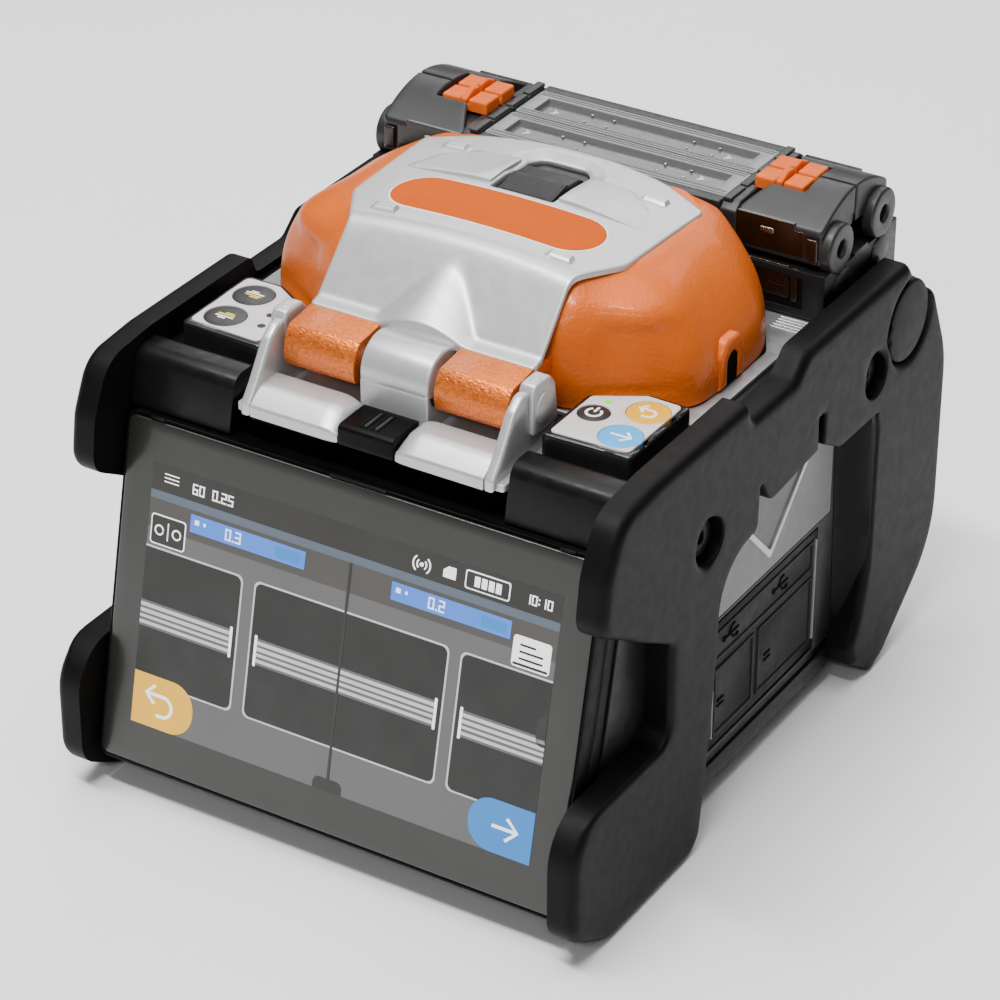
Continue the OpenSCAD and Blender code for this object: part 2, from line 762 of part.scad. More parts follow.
module sheath_clamp_bases() {
    color([0.6, 0.6, 0.62]) both_sides() difference() {
        union() {
            span([25, -8, 97], [44, 7, 107.2]);
            // hinge ears
            for (x = [25, 42]) {
                span([x, 6, 97], [x + 2, 10.6, clamp_axis_z]);
                rod_x(x, x + 2, clamp_axis_y, clamp_axis_z, 1.6);
            }
        }
        along_x(24, 45) polygon([[0, 105.9], [-1.6, 107.6], [1.6, 107.6]]);
        rod_x(24, 45, clamp_axis_y, clamp_axis_z, 0.62);
        span([27, 7.1, clamp_axis_z - 2.2], [42, 12, 112]);
    }
}

module sheath_clamp(s) {
    color([0.2, 0.2, 0.22]) mirror([s < 0 ? 1 : 0, 0, 0]) {
        difference() {
            union() {
                span([27.3, -6.5, 107.5], [41.7, clamp_axis_y, 110]);
                rod_x(27.3, 41.7, clamp_axis_y, clamp_axis_z, 1.6);
                span([31, -8.2, 108.4], [38, -6.4, 110]);
            }
            rod_x(27, 42, clamp_axis_y, clamp_axis_z, 0.65);
        }
        rod_x(25.2, 43.8, clamp_axis_y, clamp_axis_z, 0.6);
    }
}

module sheath_clamp_left() sheath_clamp(-1);

module sheath_clamp_right() sheath_clamp(1);

// ---------- electronics, battery and fan ----------

module main_board() {
    color([0.1, 0.4, 0.2]) {
        span([-52, -48, 58], [52, 24, 59.6]);
        for (part = [[-34, -30, 16, 16], [-4, -36, 22, 18], [28, -20, 12, 26]])
            span([part[0], part[1], 59.59], [part[0] + part[2], part[1] + part[3], 62]);
    }
}

module power_board() {
    color([0.1, 0.35, 0.2]) {
        span([0, 30, 46], [54, 66.5, 47.6]);
        span([6, 36, 47.59], [22, 52, 59]);
        for (x = [30, 40, 50]) translate([x, 42, 47.59]) cylinder(h = 9, r = 3.6);
    }
}

module battery_pack() {
    color([0.14, 0.14, 0.15]) {
        span([-48, 8, 16], [48, case_rear, 38]);
        // grip rib on the end face
        span([-30, case_rear - eps, 19], [30, case_rear + 1.5, 22]);
    }
}

module battery_latch() {
    color([0.85, 0.4, 0.12]) {
        span([-6.5, case_rear - wall + 0.1, 41.5], [6.5, case_rear + 0.6, 44.4]);
        span([-9, case_rear - wall - 1.5, 40.6], [9, case_rear - wall - 0.1, 45.4]);
        span([-5, case_rear - wall - 0.2, 42], [5, case_rear - wall + 0.2, 44]);
        for (x = [-4, 0, 4]) span([x - 0.4, case_rear + 0.59, 41.9], [x + 0.4, case_rear + 1, 44]);
    }
}

module dc_inlet() {
    color([0.15, 0.15, 0.16]) difference() {
        union() {
            rod_y(40, case_rear - 12, case_rear + 0.3, 62, 5.5);
            span([33, case_rear - 12, 55], [47, case_rear - wall - 0.1, 69]);
        }
        difference() {
            rod_y(40, case_rear - 9, case_rear + 1, 62, 3.2);
            rod_y(40, case_rear - 10, case_rear - 0.8, 62, 1.2);
        }
    }
}

fan_x = -32;
fan_z = 72;
fan_y = 58;
fan_t = 10;

module fan_frame() {
    color([0.1, 0.1, 0.11]) difference() {
        union() {
            difference() {
                span([fan_x - 20, fan_y, fan_z - 20], [fan_x + 20, fan_y + fan_t, fan_z + 20]);
                rod_y(fan_x, fan_y - 1, fan_y + fan_t + 1, fan_z, 18.6);
            }
            for (a = [0, 120, 240]) translate([fan_x, fan_y, fan_z]) rotate([0, a, 0])
                span([-1, 0, 6], [1, 1.6, 19]);
            rod_y(fan_x, fan_y, fan_y + 1.8, fan_z, 7);
            rod_y(fan_x, fan_y, fan_y + 8, fan_z, 1);
        }
        for (x = [-16, 16], z = [-16, 16])
            rod_y(fan_x + x, fan_y - 1, fan_y + fan_t + 1, fan_z + z, 1.6);
    }
}

module fan_rotor() {
    color([0.16, 0.16, 0.17]) difference() {
        union() {
            rod_y(fan_x, fan_y + 2.2, fan_y + 9.4, fan_z, 8);
            for (a = [0:360 / 7:359]) translate([fan_x, fan_y + 5.8, fan_z]) rotate([0, a, 0])
                translate([0, 0, 12.6]) rotate([0, 0, 38]) cube([0.9, 8, 10.4], center = true);
        }
        rod_y(fan_x, fan_y + 1, fan_y + 8.5, fan_z, 1.05);
    }
}

// ---------- tube heater ----------

module heater_housing() {
    floor_z = deck_z;
    color([0.1, 0.1, 0.11]) difference() {
        union() {
            // end blocks below the lid covers
            both_sides() span([clamp_x, front_axis - 1.4, floor_z], [heater_x - 0.4, rear_axis + 1.4, 115.4]);
            // middle part with the two heating channels
            span([-clamp_x - eps, front_axis - 1.4, floor_z], [clamp_x + eps, rear_axis + 1.4, 112]);
            span([-lid_x + 0.4, heater_mid - 12.2, 112 - eps], [lid_x - 0.4, heater_mid + 12.2, 123.8]);
            // round bosses on the end faces
            both_sides() for (y = [-9.6, 9.6]) rod_x(heater_x - 0.5, heater_x, heater_mid + y, 109.5, 4.6);
        }
        for (s = [-1, 1]) {
            channel = heater_mid + s * 7;
            span([-heater_x - 1, channel - 3.6, 114.6], [heater_x + 1, channel + 3.6, 130]);
            span([-31, channel - 3.6, 113], [31, channel + 3.6, 130]);
        }
        // recessed service panels on the front of the end blocks
        both_sides() span([41, front_axis - 2, 105.4], [56, front_axis - 1, 113.6]);
        // shallow vents along the middle
        for (x = [-30:6:30]) span([x - 1.5, front_axis - 2, 104.5], [x + 1.5, front_axis + 3, 106.5]);
    }
}

module heater_plates() {
    color([0.88, 0.86, 0.82]) for (s = [-1, 1]) difference() {
        span([-30.8, heater_mid + s * 7 - 3.5, 113], [30.8, heater_mid + s * 7 + 3.5, 119]);
        span([-32, heater_mid + s * 7 - 2.3, 114.2], [32, heater_mid + s * 7 + 2.3, 120]);
    }
}

// Clear lid over one channel; s is -1 for the front lid and 1 for the rear lid
module heater_lid(s) {
    color([0.8, 0.82, 0.84, 0.6]) translate([0, heater_mid, 0]) mirror([0, s < 0 ? 1 : 0, 0]) difference() {
        span([-lid_x, 0.3, 124.3], [lid_x, hinge_in - 3.2, lid_top]);
        span([-lid_x + 2.5, 2.2, 124], [lid_x - 2.5, hinge_in - 5, lid_top - 1.2]);
        for (x = [-26, 26]) span([x - 3, 4, lid_top - 0.4], [x + 3, 9, lid_top + 1]);
    }
}

module heater_lid_front() heater_lid(-1);

module heater_lid_rear() heater_lid(1);

// Dark hinged frame of one lid: hinge strip, end covers over the fiber clamps
module heater_cover(s) {
    color([0.13, 0.13, 0.14]) translate([0, heater_mid, 0]) mirror([0, s < 0 ? 1 : 0, 0]) difference() {
        union() {
            rod_x(-heater_x, heater_x, hinge_in, lid_axis_z, 1.4);
            span([-lid_x, hinge_in - 3.2, 124.3], [lid_x, hinge_in, lid_top - 0.4]);
            // low end frame beside the lid, with the jaw that closes on the fiber
            both_sides() along_x(lid_x, heater_x - 0.4) polygon(rounded([
                [0.9, 121, 0], [0.3, 125, 0], [0.3, 127.4, 0], [hinge_in - 2.2, 127.2, 2],
                [hinge_in + 1.2, lid_axis_z + 0.2, 1], [hinge_in + 1.2, 117, 1],
                [hinge_in - 1.5, 116.2, 1], [11.2, 116.2, 0], [11.2, 121, 0]]));
            // raised block around the tabs, sloping down to the outer face
            both_sides() along_x(37, heater_x - 2.2) polygon(rounded([
                [0.3, 125, 0], [0.3, 130.8, 0.4], [2.4, 130.9, 2], [7.6, 130, 5],
                [hinge_in + 0.6, 127, 1.2], [hinge_in + 0.6, 125, 0]]));
        }
        // pocket for the finger tabs and the passage of the fiber
        both_sides() span([36, -1, 127.2], [49.6, 7.2, 132]);
        both_sides() span([30, 5, 120], [70, 9, 123.6]);
        // name-free marking recess on the outer face
        both_sides() span([44, hinge_in + 0.9, 121.6], [48, hinge_in + 2, 123.2]);
    }
}

module heater_cover_front() heater_cover(-1);

module heater_cover_rear() heater_cover(1);

// Four finger pads per lid, two at each end, with a ridge between them
module heater_tabs(s) {
    color([0.95, 0.42, 0.12]) translate([0, heater_mid, 0]) mirror([0, s < 0 ? 1 : 0, 0])
        both_sides() {
            span([36.6, 0.4, 127.2], [49, 6.6, 128.8]);
            for (x = [36.6, 43.9]) span([x, 0.4, 128.79], [x + 5.1, 6.6, 130.2]);
            along_x(41.9, 43.7) polygon([[0.4, 128.79], [0.4, 131.4], [2.5, 131.8], [6.6, 130.4], [6.6, 128.79]]);
        }
}

module heater_tabs_front() heater_tabs(-1);

module heater_tabs_rear() heater_tabs(1);

base_tray();
main_case();
deck_plate();
monitor_back();
monitor_bezel();
lcd_panel();
touch_glass();
side_panel_left();
side_panel_right();
protector_left();
protector_right();
protector_screws();
case_screws();
tripod_bush();
port_panel();
port_door();
main_board();
power_board();
battery_pack();
battery_latch();
dc_inlet();
fan_frame();
fan_rotor();
hinge_bracket();
bracket_insert();
hood_hinge_pin();
hood_shell();
hood_plate();
hood_label();
hood_latch();
hood_gasket();
hood_fiber_clamps();
keypad_left();
keypad_right();
keypad_film_left();
keypad_film_right();
heat_key();
arc_key();
power_key();
return_key();
next_key();
splice_base();
v_groove_blocks();
electrode_holders();
electrodes();
objective_lenses();
microscope_tubes();
alignment_motors();
led_lamps();
sheath_clamp_bases();
sheath_clamp_left();
sheath_clamp_right();
heater_housing();
heater_plates();
heater_lid_front();
heater_lid_rear();
heater_cover_front();
heater_cover_rear();
heater_tabs_front();
heater_tabs_rear();
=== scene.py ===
"""Looks for the fiber fusion splicer: detailed pieces that ride on the CAD bodies, in millimetres."""

import json
import math
import bmesh
import bpy
import numpy as np
from mathutils import Matrix, Vector
from mathutils.geometry import delaunay_2d_cdt


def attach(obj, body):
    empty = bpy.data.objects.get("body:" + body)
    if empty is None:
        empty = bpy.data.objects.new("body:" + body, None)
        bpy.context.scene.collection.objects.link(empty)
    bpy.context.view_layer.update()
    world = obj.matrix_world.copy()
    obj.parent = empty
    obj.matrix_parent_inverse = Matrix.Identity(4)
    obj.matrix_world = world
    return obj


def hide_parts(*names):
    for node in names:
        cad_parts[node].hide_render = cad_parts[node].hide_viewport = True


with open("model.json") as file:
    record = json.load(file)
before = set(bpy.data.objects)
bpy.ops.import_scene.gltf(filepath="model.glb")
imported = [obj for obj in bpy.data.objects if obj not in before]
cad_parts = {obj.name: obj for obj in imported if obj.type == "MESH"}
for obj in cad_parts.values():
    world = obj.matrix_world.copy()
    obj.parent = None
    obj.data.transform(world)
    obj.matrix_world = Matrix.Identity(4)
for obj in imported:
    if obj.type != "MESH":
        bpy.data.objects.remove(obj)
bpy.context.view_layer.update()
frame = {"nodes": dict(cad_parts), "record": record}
MM = 0.001
record = frame["record"]
SLOT_OF = {p["node"]: p["material_slot"] for p in record["subparts"]}
BODY_OF = {n: b for b, nodes in record["behaviour"]["bodies"].items() for n in nodes}


# ---------- finishes ----------

def finish(name, color, rough, metal=0.0, grain=0.0, grain_mm=0.5, stretch=(1, 1, 1), mottle=0.06,
           mottle_mm=9.0,
           rough_var=0.08, coat=0.0, coat_rough=0.12, worn=0.0, glow=0.0, sparkle=0.0, shine=0.5,
           speckle=0.0):
    """One procedural finish: fine grain as bump, soft colour and gloss variation, lighter worn edges."""
    mat = bpy.data.materials.new(name)
    mat.use_nodes = True
    tree = mat.node_tree
    shader = tree.nodes["Principled BSDF"]

    def node(kind, **values):
        made = tree.nodes.new(kind)
        for key, value in values.items():
            if key in made.inputs:
                made.inputs[key].default_value = value
            else:
                setattr(made, key, value)
        return made

    def noise(size_mm, detail, vector):
        made = node("ShaderNodeTexNoise", Scale=1 / (size_mm * MM), Detail=detail, Roughness=0.55)
        tree.links.new(vector, made.inputs["Vector"])
        return made.outputs["Fac"]

    def spread(source, low, high, start=0.3, end=0.7):
        made = node("ShaderNodeMapRange",
                    **{"From Min": start, "From Max": end, "To Min": low, "To Max": high})
        tree.links.new(source, made.inputs["Value"])
        return made.outputs["Result"]

    place = node("ShaderNodeTexCoord").outputs["Object"]
    scaled = node("ShaderNodeVectorMath", operation="MULTIPLY")
    tree.links.new(place, scaled.inputs[0])
    scaled.inputs[1].default_value = stretch
    fine = noise(grain_mm, 3, scaled.outputs["Vector"])
    broad = noise(mottle_mm, 4, place)
    smudge = noise(mottle_mm * 0.35, 6, place)

    tint = node("ShaderNodeHueSaturation", Color=(*color, 1))
    value = spread(broad, 1 - mottle, 1 + mottle)
    if speckle:
        fleck = node("ShaderNodeMath", operation="MULTIPLY")
        tree.links.new(value, fleck.inputs[0])
        tree.links.new(spread(noise(grain_mm * 1.4, 2, place), 1 - speckle, 1 + speckle), fleck.inputs[1])
        value = fleck.outputs[0]
    tree.links.new(value, tint.inputs["Value"])
    shade = tint.outputs["Color"]
    if worn:
        edge = spread(node("ShaderNodeNewGeometry").outputs["Pointiness"], 0, worn, 0.52, 0.62)
        lift = node("ShaderNodeMix", data_type="RGBA")
        lift.inputs[7].default_value = (*[min(1, c * 1.6 + 0.03) for c in color], 1)
        tree.links.new(edge, lift.inputs[0])
        tree.links.new(shade, lift.inputs[6])
        shade = lift.outputs[2]
    tree.links.new(shade, shader.inputs["Base Color"])
    tree.links.new(spread(smudge, max(0.02, rough - rough_var), rough + rough_var),
                   shader.inputs["Roughness"])
    shader.inputs["Metallic"].default_value = metal
    shader.inputs["Specular IOR Level"].default_value = shine
    shader.inputs["Coat Weight"].default_value = coat
    shader.inputs["Coat Roughness"].default_value = coat_rough
    bump = node("ShaderNodeBump", Strength=1.0, Distance=max(grain, 0.001) * MM)
    tree.links.new(fine, bump.inputs["Height"])
    tree.links.new(bump.outputs["Normal"], shader.inputs["Normal"])
    if sparkle:
        flake = node("ShaderNodeTexVoronoi", Scale=1 / (0.35 * MM))
        tree.links.new(scaled.outputs["Vector"], flake.inputs["Vector"])
        tree.links.new(spread(flake.outputs["Color"], metal, min(1, metal + sparkle), 0, 1),
                       shader.inputs["Metallic"])
    if glow:
        tree.links.new(shade, shader.inputs["Emission Color"])
        shader.inputs["Emission Strength"].default_value = glow
    return mat


LOOK = {}


def new_look(name, color, rough, **values):
    LOOK[name] = finish(name, color, rough, **values)


new_look("case_plastic", (0.0024, 0.0024, 0.0026), 0.36, grain=0.010, grain_mm=0.35, worn=0.25, shine=0.18)
new_look("battery_plastic", (0.008, 0.008, 0.009), 0.5, grain=0.012, grain_mm=0.4, worn=0.3, shine=0.3)
new_look("deck_metal", (0.42, 0.42, 0.43), 0.38, metal=0.8, grain=0.008, grain_mm=0.25, worn=0.4)
new_look("monitor_plastic", (0.0016, 0.0016, 0.0018), 0.4, grain=0.008, grain_mm=0.3, worn=0.25, shine=0.08)
new_look("display", (0.20, 0.21, 0.22), 0.3, mottle=0.02)
new_look("touch_glass", (0.014, 0.015, 0.012), 0.3, mottle=0.05, mottle_mm=40, rough_var=0.04, coat=0.25,
         coat_rough=0.12)
new_look("side_grey", (0.20, 0.20, 0.203), 0.45, grain=0.006, grain_mm=0.3, worn=0.3, shine=0.3)
new_look("protector_rubber", (0.0022, 0.0022, 0.0023), 0.5, grain=0.010, grain_mm=0.3, mottle=0.04,
         rough_var=0.04, worn=0.1, shine=0.11)
new_look("steel", (0.50, 0.50, 0.50), 0.3, metal=1.0, grain=0.004, grain_mm=0.2, stretch=(1, 6, 6))
new_look("dark_steel", (0.02, 0.02, 0.02), 0.4, metal=0.5, grain=0.004, grain_mm=0.2, worn=0.3, shine=0.1)
new_look("brass", (0.62, 0.44, 0.17), 0.3, metal=1.0, grain=0.004, grain_mm=0.2)
new_look("door_plastic", (0.0012, 0.0012, 0.0013), 0.36, grain=0.006, grain_mm=0.3, worn=0.4, shine=0.06)
new_look("circuit_board", (0.02, 0.13, 0.06), 0.4, grain=0.02, grain_mm=0.8)
new_look("orange_plastic", (0.75, 0.16, 0.02), 0.45, grain=0.008, grain_mm=0.3, worn=0.2)
new_look("fan_plastic", (0.010, 0.010, 0.011), 0.45, grain=0.006, grain_mm=0.3, worn=0.3, shine=0.3)
new_look("silver_paint", (0.50, 0.50, 0.505), 0.34, metal=0.35, grain=0.008, grain_mm=0.3, mottle=0.02,
         rough_var=0.04, coat=0.2, coat_rough=0.25, sparkle=0.2, worn=0.2)
new_look("orange_paint", (0.62, 0.115, 0.008), 0.42, metal=0.1, grain=0.16, grain_mm=0.85, mottle=0.04,
         rough_var=0.05, coat=0.14, coat_rough=0.1, sparkle=0.12, worn=0.1, shine=0.15)
new_look("orange_knuckle", (0.68, 0.15, 0.02), 0.3, metal=0.4, grain=0.2, grain_mm=0.5, stretch=(0.5, 1, 1),
         mottle=0.06, rough_var=0.05, coat=0.3, coat_rough=0.12, sparkle=0.4, worn=0.1, speckle=0.22,
         shine=0.2)
new_look("label_film", (0.50, 0.075, 0.0), 0.7, grain=0.003, grain_mm=0.3, mottle=0.03, shine=0.1)
new_look("latch_plastic", (0.010, 0.010, 0.011), 0.38, grain=0.008, grain_mm=0.25, worn=0.2, shine=0.35)
new_look("latch_grip", (0.009, 0.009, 0.010), 0.5, grain=0.10, grain_mm=0.55, worn=0.3, shine=0.35)
new_look("gasket_rubber", (0.003, 0.003, 0.003), 0.8, grain=0.03, grain_mm=0.3, shine=0.05)
new_look("keypad_frame", (0.007, 0.007, 0.0075), 0.22, grain=0.004, grain_mm=0.3, rough_var=0.04, worn=0.15)
new_look("keypad_film", (0.58, 0.555, 0.55), 0.45, grain=0.003, grain_mm=0.25, mottle=0.03)
new_look("key_black", (0.010, 0.010, 0.011), 0.42, grain=0.004, grain_mm=0.2)
new_look("key_yellow", (0.75, 0.36, 0.01), 0.5, grain=0.004, grain_mm=0.2, mottle=0.04, shine=0.3)
new_look("key_blue", (0.04, 0.36, 0.75), 0.5, grain=0.004, grain_mm=0.2, mottle=0.04, shine=0.3)
new_look("ceramic", (0.75, 0.73, 0.68), 0.3, grain=0.004, grain_mm=0.2)
new_look("dark_metal", (0.03, 0.03, 0.034), 0.35, metal=0.6, grain=0.005, grain_mm=0.2, worn=0.4)
new_look("lamp_plastic", (0.8, 0.8, 0.75), 0.2, mottle=0.02)
new_look("heater_plastic", (0.016, 0.016, 0.0165), 0.4, grain=0.006, grain_mm=0.3, rough_var=0.05, worn=0.25,
         shine=0.4)
new_look("heater_gloss", (0.014, 0.006, 0.002), 0.2, grain=0.003, grain_mm=0.3, mottle=0.05, rough_var=0.04,
         worn=0.2)
new_look("clear_lid", (0.15, 0.153, 0.157), 0.34, grain=0.010, grain_mm=0.5, mottle=0.06, mottle_mm=5,
         coat=0.25, coat_rough=0.15, worn=0.4)
new_look("lid_window", (0.07, 0.07, 0.073), 0.3, grain=0.006, grain_mm=0.4, mottle=0.06, coat=0.3)
new_look("tab_plastic", (0.66, 0.11, 0.008), 0.45, grain=0.006, grain_mm=0.3, worn=0.3, shine=0.15)
# markings
new_look("mark_white", (0.86, 0.86, 0.85), 0.5, grain=0.002, mottle=0.03)
new_look("mark_dark", (0.012, 0.012, 0.012), 0.5, grain=0.002, mottle=0.03)
new_look("mark_yellow", (0.75, 0.55, 0.04), 0.5, grain=0.002, mottle=0.03)
new_look("mark_green", (0.12, 0.75, 0.01), 0.4, grain=0.002, mottle=0.03, glow=0.5)
# the lit display: colour, mottle, its size in millimetres, glow
for name, color, mottle, size, glow in (
    ("lit_ground", (0.11, 0.108, 0.11), 0.03, 30, 0.06),
    ("lit_band", (0.060, 0.055, 0.050), 0.05, 30, 0.1),
    ("lit_bar", (0.020, 0.019, 0.017), 0.05, 30, 0.05),
    ("lit_strip", (0.08, 0.105, 0.14), 0.05, 30, 0.2),
    ("lit_view", (0.010, 0.011, 0.009), 0.1, 20, 0.05),
    ("lit_rim", (0.50, 0.49, 0.50), 0.03, 9, 0.3),
    ("lit_haze", (0.11, 0.105, 0.105), 0.03, 9, 0.12),
    ("lit_fiber", (0.50, 0.48, 0.50), 0.03, 9, 0.3),
    ("lit_white", (0.9, 0.9, 0.9), 0.02, 9, 0.7),
    ("lit_blue", (0.05, 0.18, 0.65), 0.04, 9, 0.4),
    ("lit_next", (0.02, 0.19, 0.55), 0.04, 9, 0.3),
    ("lit_back", (0.80, 0.42, 0.02), 0.04, 9, 0.3)):
    new_look(name, color, 0.35, mottle=mottle, mottle_mm=size, glow=glow)


# ---------- mesh helpers ----------

def rounded(points, steps=6):
    """Outline with rounded corners from [x, y, radius] rows."""
    out = []
    n = len(points)
    for k in range(n):
        q = np.array(points[k][:2], float)
        r = points[k][2] if len(points[k]) > 2 else 0
        a, b = np.array(points[k - 1][:2], float) - q, np.array(points[(k + 1) % n][:2], float) - q
        a, b = a / np.linalg.norm(a), b / np.linalg.norm(b)
        cosine = np.clip(a @ b, -1, 1)
        half = math.acos(cosine) / 2
        if r <= 0 or half > math.pi / 2 - 1e-3:
            out.append(q)
            continue
        centre = q + (a + b) / np.linalg.norm(a + b) * r / math.sin(half)
        start, end = q + a * r / math.tan(half) - centre, q + b * r / math.tan(half) - centre
        turn = math.atan2(start[0] * end[1] - start[1] * end[0], start @ end)
        for i in range(steps + 1):
            t = turn * i / steps
            out.append(centre + [start[0] * math.cos(t) - start[1] * math.sin(t),
                                 start[0] * math.sin(t) + start[1] * math.cos(t)])
    return np.array(out)


def mirrored(points):
    return [*points, *[[-p[0], *p[1:]] for p in reversed(points)]]


def disc(x, y, r, steps=40):
    t = np.arange(steps) * 2 * math.pi / steps
    return np.stack([x + r * np.cos(t), y + r * np.sin(t)], 1)


def box2(x0, y0, x1, y1, r=0.0, steps=4):
    """A rectangle; r is one corner radius or four, anticlockwise from the low corner."""
    a, b, c, d = r if isinstance(r, tuple) else (r,) * 4
    return rounded([[x0, y0, a], [x1, y0, b], [x1, y1, c], [x0, y1, d]], steps)


def area(loop):
    x, y = loop[:, 0], loop[:, 1]
    return 0.5 * np.sum(x * np.roll(y, -1) - np.roll(x, -1) * y)


def dense(loop, pitch):
    """The loop without doubled points, with long edges divided."""
    keep = [p for k, p in enumerate(loop) if np.linalg.norm(p - loop[k - 1]) > 1e-4]
    out = []
    for k, p in enumerate(keep):
        q = keep[(k + 1) % len(keep)]
        parts = max(1, int(math.ceil(np.linalg.norm(q - p) / pitch)))
        out += [p + (q - p) * i / parts for i in range(parts)]
    return np.array(out)


def to_edge(points, loops):
    """Distance of each point to the nearest edge of the loops."""
    best = np.full(len(points), 1e9)
    for loop in loops:
        for a, b in zip(loop, np.roll(loop, -1, 0)):
            ab = b - a
            t = np.clip(((points - a) @ ab) / max(ab @ ab, 1e-12), 0, 1)
            best = np.minimum(best, np.hypot(*(points - a - t[:, None] * ab).T))
    return best


def within(points, loops):
    odd = np.zeros(len(points), bool)
    x, y = points[:, 0], points[:, 1]
    for loop in loops:
        for (x0, y0), (x1, y1) in zip(loop, np.roll(loop, -1, 0)):
            if y0 == y1:
                continue
            odd ^= ((y0 > y) != (y1 > y)) & (x < (x1 - x0) * (y - y0) / (y1 - y0) + x0)
    return odd


def add(name, verts, faces, body, slot, look=None, sharp=38, place=None):
    """A mesh piece in millimetres that rides on a body and takes the place of a node of its name."""
    matrix = place or Matrix.Identity(4)
    turned = matrix.determinant() < 0
    points = [matrix @ Vector(v) * MM for v in verts]
    mesh = bpy.data.meshes.new(name)
    mesh.from_pydata(points, [], [tuple(reversed(f)) if turned else tuple(f) for f in faces])
    mesh.validate()
    mesh.shade_smooth()
    mesh.set_sharp_from_angle(angle=math.radians(sharp))
    mesh.materials.append(LOOK[look or slot])
    piece = bpy.data.objects.new(name + ".look" if name in frame["nodes"] else name, mesh)
    bpy.context.scene.collection.objects.link(piece)
    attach(piece, body)
    if name in frame["nodes"]:
        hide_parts(name)


def slab_mesh(outline, z0, z1, edge=0.3, holes=(), rise=None, both=False, pitch=3.0, rings=4, follow=False,
              under=None):
    """A plate between z0 and z1 with a rounded upper rim.

    rise(x, y) lifts the top. The bottom stays flat, or follows it or under(x, y).
    """
    radius = edge if callable(edge) else (lambda x, y: np.full(len(x), float(edge)))
    spacing = pitch if callable(edge) or edge < 0.1 else min(pitch, max(0.6, 1.6 * edge))
    first = dense(np.array(outline, float), spacing)
    loops = [first if area(first) > 0 else first[::-1]]
    for hole in holes:
        h = dense(np.array(hole, float), spacing)
        loops.append(h if area(h) < 0 else h[::-1])
    bounds, lines, start = [], [], 0
    inner = []
    for loop in loops:
        n = len(loop)
        bounds.append(loop)
        lines += [(start + i, start + (i + 1) % n) for i in range(n)]
        start += n
        along = np.roll(loop, -1, 0) - loop
        along /= np.linalg.norm(along, axis=1)[:, None]
        normal = np.stack([-along[:, 1], along[:, 0]], 1)
        mean = normal + np.roll(normal, 1, 0)
        mean /= np.maximum(np.linalg.norm(mean, axis=1)[:, None], 1e-6)
        scale = 1 / np.maximum((mean * normal).sum(1), 0.45)
        e = radius(loop[:, 0], loop[:, 1])
        for k in range(1, rings + 1):
            d = e * (1 - math.cos(math.pi / 2 * k / rings))
            p = loop + mean * (d * scale)[:, None]
            inner.append(np.c_[p, d])
    rim = np.concatenate(bounds)
    extra = np.concatenate(inner)
    far = to_edge(extra[:, :2], loops)
    extra = extra[(far >= extra[:, 2] * 0.93) & (extra[:, 2] > 1e-4)][:, :2]
    extra = extra[within(extra, loops)]
    low, high = rim.min(0), rim.max(0)
    gx, gy = np.meshgrid(np.arange(low[0] + pitch / 2, high[0], pitch), np.arange(low[1] + pitch / 2,
                                                                                  high[1], pitch))
    grid = np.stack([gx.ravel(), gy.ravel()], 1)
    if len(grid):
        grid = grid[within(grid, loops)]
    if len(grid):
        grid = grid[to_edge(grid, loops) > radius(grid[:, 0], grid[:, 1]) + pitch * 0.35]
    cloud = np.concatenate([rim, extra, grid]) if len(grid) else np.concatenate([rim, extra])
    made = delaunay_2d_cdt([Vector(p) for p in cloud], lines, [], 0, 1e-5)
    flat = np.array([[v.x, v.y] for v in made[0]])
    tris = np.array(made[2])
    tris = tris[within(flat[tris].mean(1), loops)]
    shape = flat[tris]
    cross = ((shape[:, 1] - shape[:, 0])[:, 0] * (shape[:, 2] - shape[:, 0])[:, 1]
             - (shape[:, 1] - shape[:, 0])[:, 1] * (shape[:, 2] - shape[:, 0])[:, 0])
    tris[cross < 0] = tris[cross < 0][:, ::-1]
    far = to_edge(flat, loops)
    e = np.maximum(radius(flat[:, 0], flat[:, 1]), 1e-6)
    gap = np.clip(e - far, 0, None)
    drop = e - np.sqrt(np.clip(e * e - gap * gap, 0, None))
    lift = rise(flat[:, 0], flat[:, 1]) if rise else np.zeros(len(flat))
    base = (under or rise)(flat[:, 0], flat[:, 1]) if follow else np.zeros(len(flat))
    top = np.c_[flat, z1 + lift - drop]
    low_z = z0 + base + (drop if both else 0)
    bottom = np.c_[flat, low_z]
    n = len(flat)
    count = {}
    for t in tris:
        for i in range(3):
            a, b = int(t[i]), int(t[(i + 1) % 3])
            if (b, a) in count:
                del count[(b, a)]
            else:
                count[(a, b)] = True
    faces = [tuple(map(int, t)) for t in tris]
    faces += [tuple(int(v) + n for v in t[::-1]) for t in tris]
    faces += [(b, a, a + n, b + n) for a, b in count]
    return np.concatenate([top, bottom]), faces


def slab(name, outline, z0, z1, body, slot, look=None, place=None, sharp=38, **shape):
    verts, faces = slab_mesh(outline, z0, z1, **shape)
    add(name, verts, faces, body, slot, look, sharp, place)


def merge(name, parts, body, slot, look=None, sharp=38, place=None):
    """Several (verts, faces) or (verts, faces, matrix) groups as one piece."""
    verts, faces = [], []
    for v, f, *own in parts:
        matrix = (own[0] if own else place) or Matrix.Identity(4)
        turned = matrix.determinant() < 0
        start = len(verts)
        verts += [tuple(matrix @ Vector(p)) for p in v]
        faces += [tuple(i + start for i in (reversed(q) if turned else q)) for q in f]
    add(name, verts, faces, body, slot, look, sharp)


